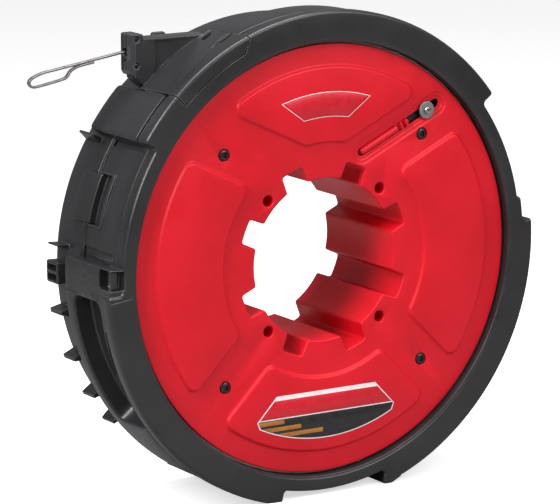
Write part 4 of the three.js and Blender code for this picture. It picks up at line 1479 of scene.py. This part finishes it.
# ---- Assembly -------------------------------------------------------------------------------------
piece("housing_front_shell", front_shell(), BLACK, "housing", "housing", "front_shell")
for side, floor in zip(("side", "face"), pocket_floors()):
    piece(f"corner_pocket_{side}_floor", floor, BLACK_GLOSS, "housing", "housing")
piece("housing_rear_shell", rear_shell(), BLACK, "housing", "housing", "rear_shell")
piece("tape_exit_cover", exit_cover(ring_front()), BLACK, "housing", "housing", "exit_cover")
piece("nozzle_rear", nozzle_rear(), BLACK, "housing", "housing", "nozzle_rear_half")
piece("tape_guide_insert", tape_guide(), OXIDE, "housing", "guide", "tape_guide")
for name, z in NOZZLE_SCREWS.items():
    piece(f"nozzle_fixing_{name}", small_screw(NOZZLE_SCREW_X, z, 1.6, FUNNEL_FRONT + 0.3, 12, 0.8), OXIDE,
          "housing", "screw", f"nozzle_screw_{name}")
for name, angle in CLIPS.items():
    piece(f"clip_{name}", snap_clip(angle), BLACK, "housing", "housing", f"snap_clip_{name}")
for name, angle in SHELL_SCREWS.items():
    x, z = polar(SHELL_SCREW_R, angle)
    head = small_screw(-x, z, 2.5, -BACK + 0.5, 58, 1.3)
    head.mesh.transform(Matrix.Rotation(math.pi, 4, "Z"))
    piece(f"shell_fixing_{name}", head, OXIDE, "housing", "screw", f"shell_screw_{name}")
piece("drum_face_and_hub", drum_front(), RED, "drum", "drum", "drum_front")
piece("drum_rear_flange", drum_rear(), RED, "drum", "drum", "drum_rear")
piece("wound_tape", wound_turns(), STEEL, "drum", "tape", "tape_pack")
for number, angle in enumerate(FACE_SCREWS, 1):
    piece(f"face_screw_{number}", face_screw(angle), OXIDE, "drum", "screw", f"flange_screw_{number}")
add_labels()
piece("anchor_bar", anchor_slider(), RED, "anchor", "drum", "anchor_slider")
piece("anchor_runner", anchor_runner(), OXIDE, "anchor", "drum")
piece("anchor_washer_disc", washer(), ZINC, "anchor", "washer", "anchor_washer")
piece("anchor_screw_head", anchor_screw(), BRIGHT, "anchor", "screw", "anchor_screw")
piece("tape_strip", tape_leader(), STEEL, "tape", "tape", "tape_leader")
keep("front_bearing_ring", NATURAL)
keep("rear_bearing_ring", NATURAL)
keep("winding_core", NATURAL)
keep("anchor_clamp", ZINC)
Solid.clear_bench()


# ---- Floor and light ------------------------------------------------------------------------------
FLOOR_HALF = 4
FLOOR_DROP = 0.0002
FILL, BACKDROP = 0.24, 0.97


def add_floor():
    """A plain pale floor, darker to the light that reaches the drum than it looks."""
    finish = Finish("floor_paint")
    seen = finish.node("LightPath", output="Is Camera Ray")
    finish.feed(Base_Color=finish.mix(seen, grey(0.3), grey(0.8)), Roughness=0.7, Emission_Strength=1.0,
                Emission_Color=finish.mix(seen, grey(0), grey(0.62)))
    corners = [(x * FLOOR_HALF, y * FLOOR_HALF, 0) for x, y in ((-1, -1), (1, -1), (1, 1), (-1, 1))]
    mesh = bpy.data.meshes.new("floor")
    mesh.from_pydata(corners, [], [[0, 1, 2, 3]])
    mesh.materials.append(finish.material)
    floor = bpy.data.objects.new("floor", mesh)
    floor.location.z = cad_low.z - FLOOR_DROP
    scene.collection.objects.link(floor)


def add_light(name, direction, distance, size, power):
    """A soft box that faces the drum from a direction (x, y, z), in metres and watts."""
    way = Vector(direction).normalized()
    data = bpy.data.lights.new(name, "AREA")
    data.shape = "RECTANGLE"
    data.size, data.size_y = size
    data.energy = power
    light = bpy.data.objects.new(name, data)
    light.location = AXIS + way * distance
    light.rotation_euler = way.to_track_quat("Z", "Y").to_euler()
    scene.collection.objects.link(light)


def add_world(fill, backdrop):
    """An even fill light, and a brighter plain backdrop that lights nothing."""
    world = bpy.data.worlds.new("studio")
    world.use_nodes = True
    tree = world.node_tree
    seen = tree.nodes.new("ShaderNodeLightPath")
    share = tree.nodes.new("ShaderNodeMix")
    share.inputs[2].default_value = fill
    share.inputs[3].default_value = backdrop
    tree.links.new(seen.outputs["Is Camera Ray"], share.inputs[0])
    background = tree.nodes["Background"]
    background.inputs["Color"].default_value = (1, 1, 1, 1)
    tree.links.new(share.outputs[0], background.inputs["Strength"])
    scene.world = world


scene.view_settings.view_transform = "Standard"
add_floor()
add_world(FILL, BACKDROP)
add_light("key", (0.75, -1.5, 1.3), 1.6, (1.1, 1.1), 17.5)
add_light("side", (-1.3, -0.35, 1.0), 1.5, (0.35, 1.0), 24)
add_light("top", (0.0, 0.05, 1.8), 1.4, (1.3, 0.5), 21)
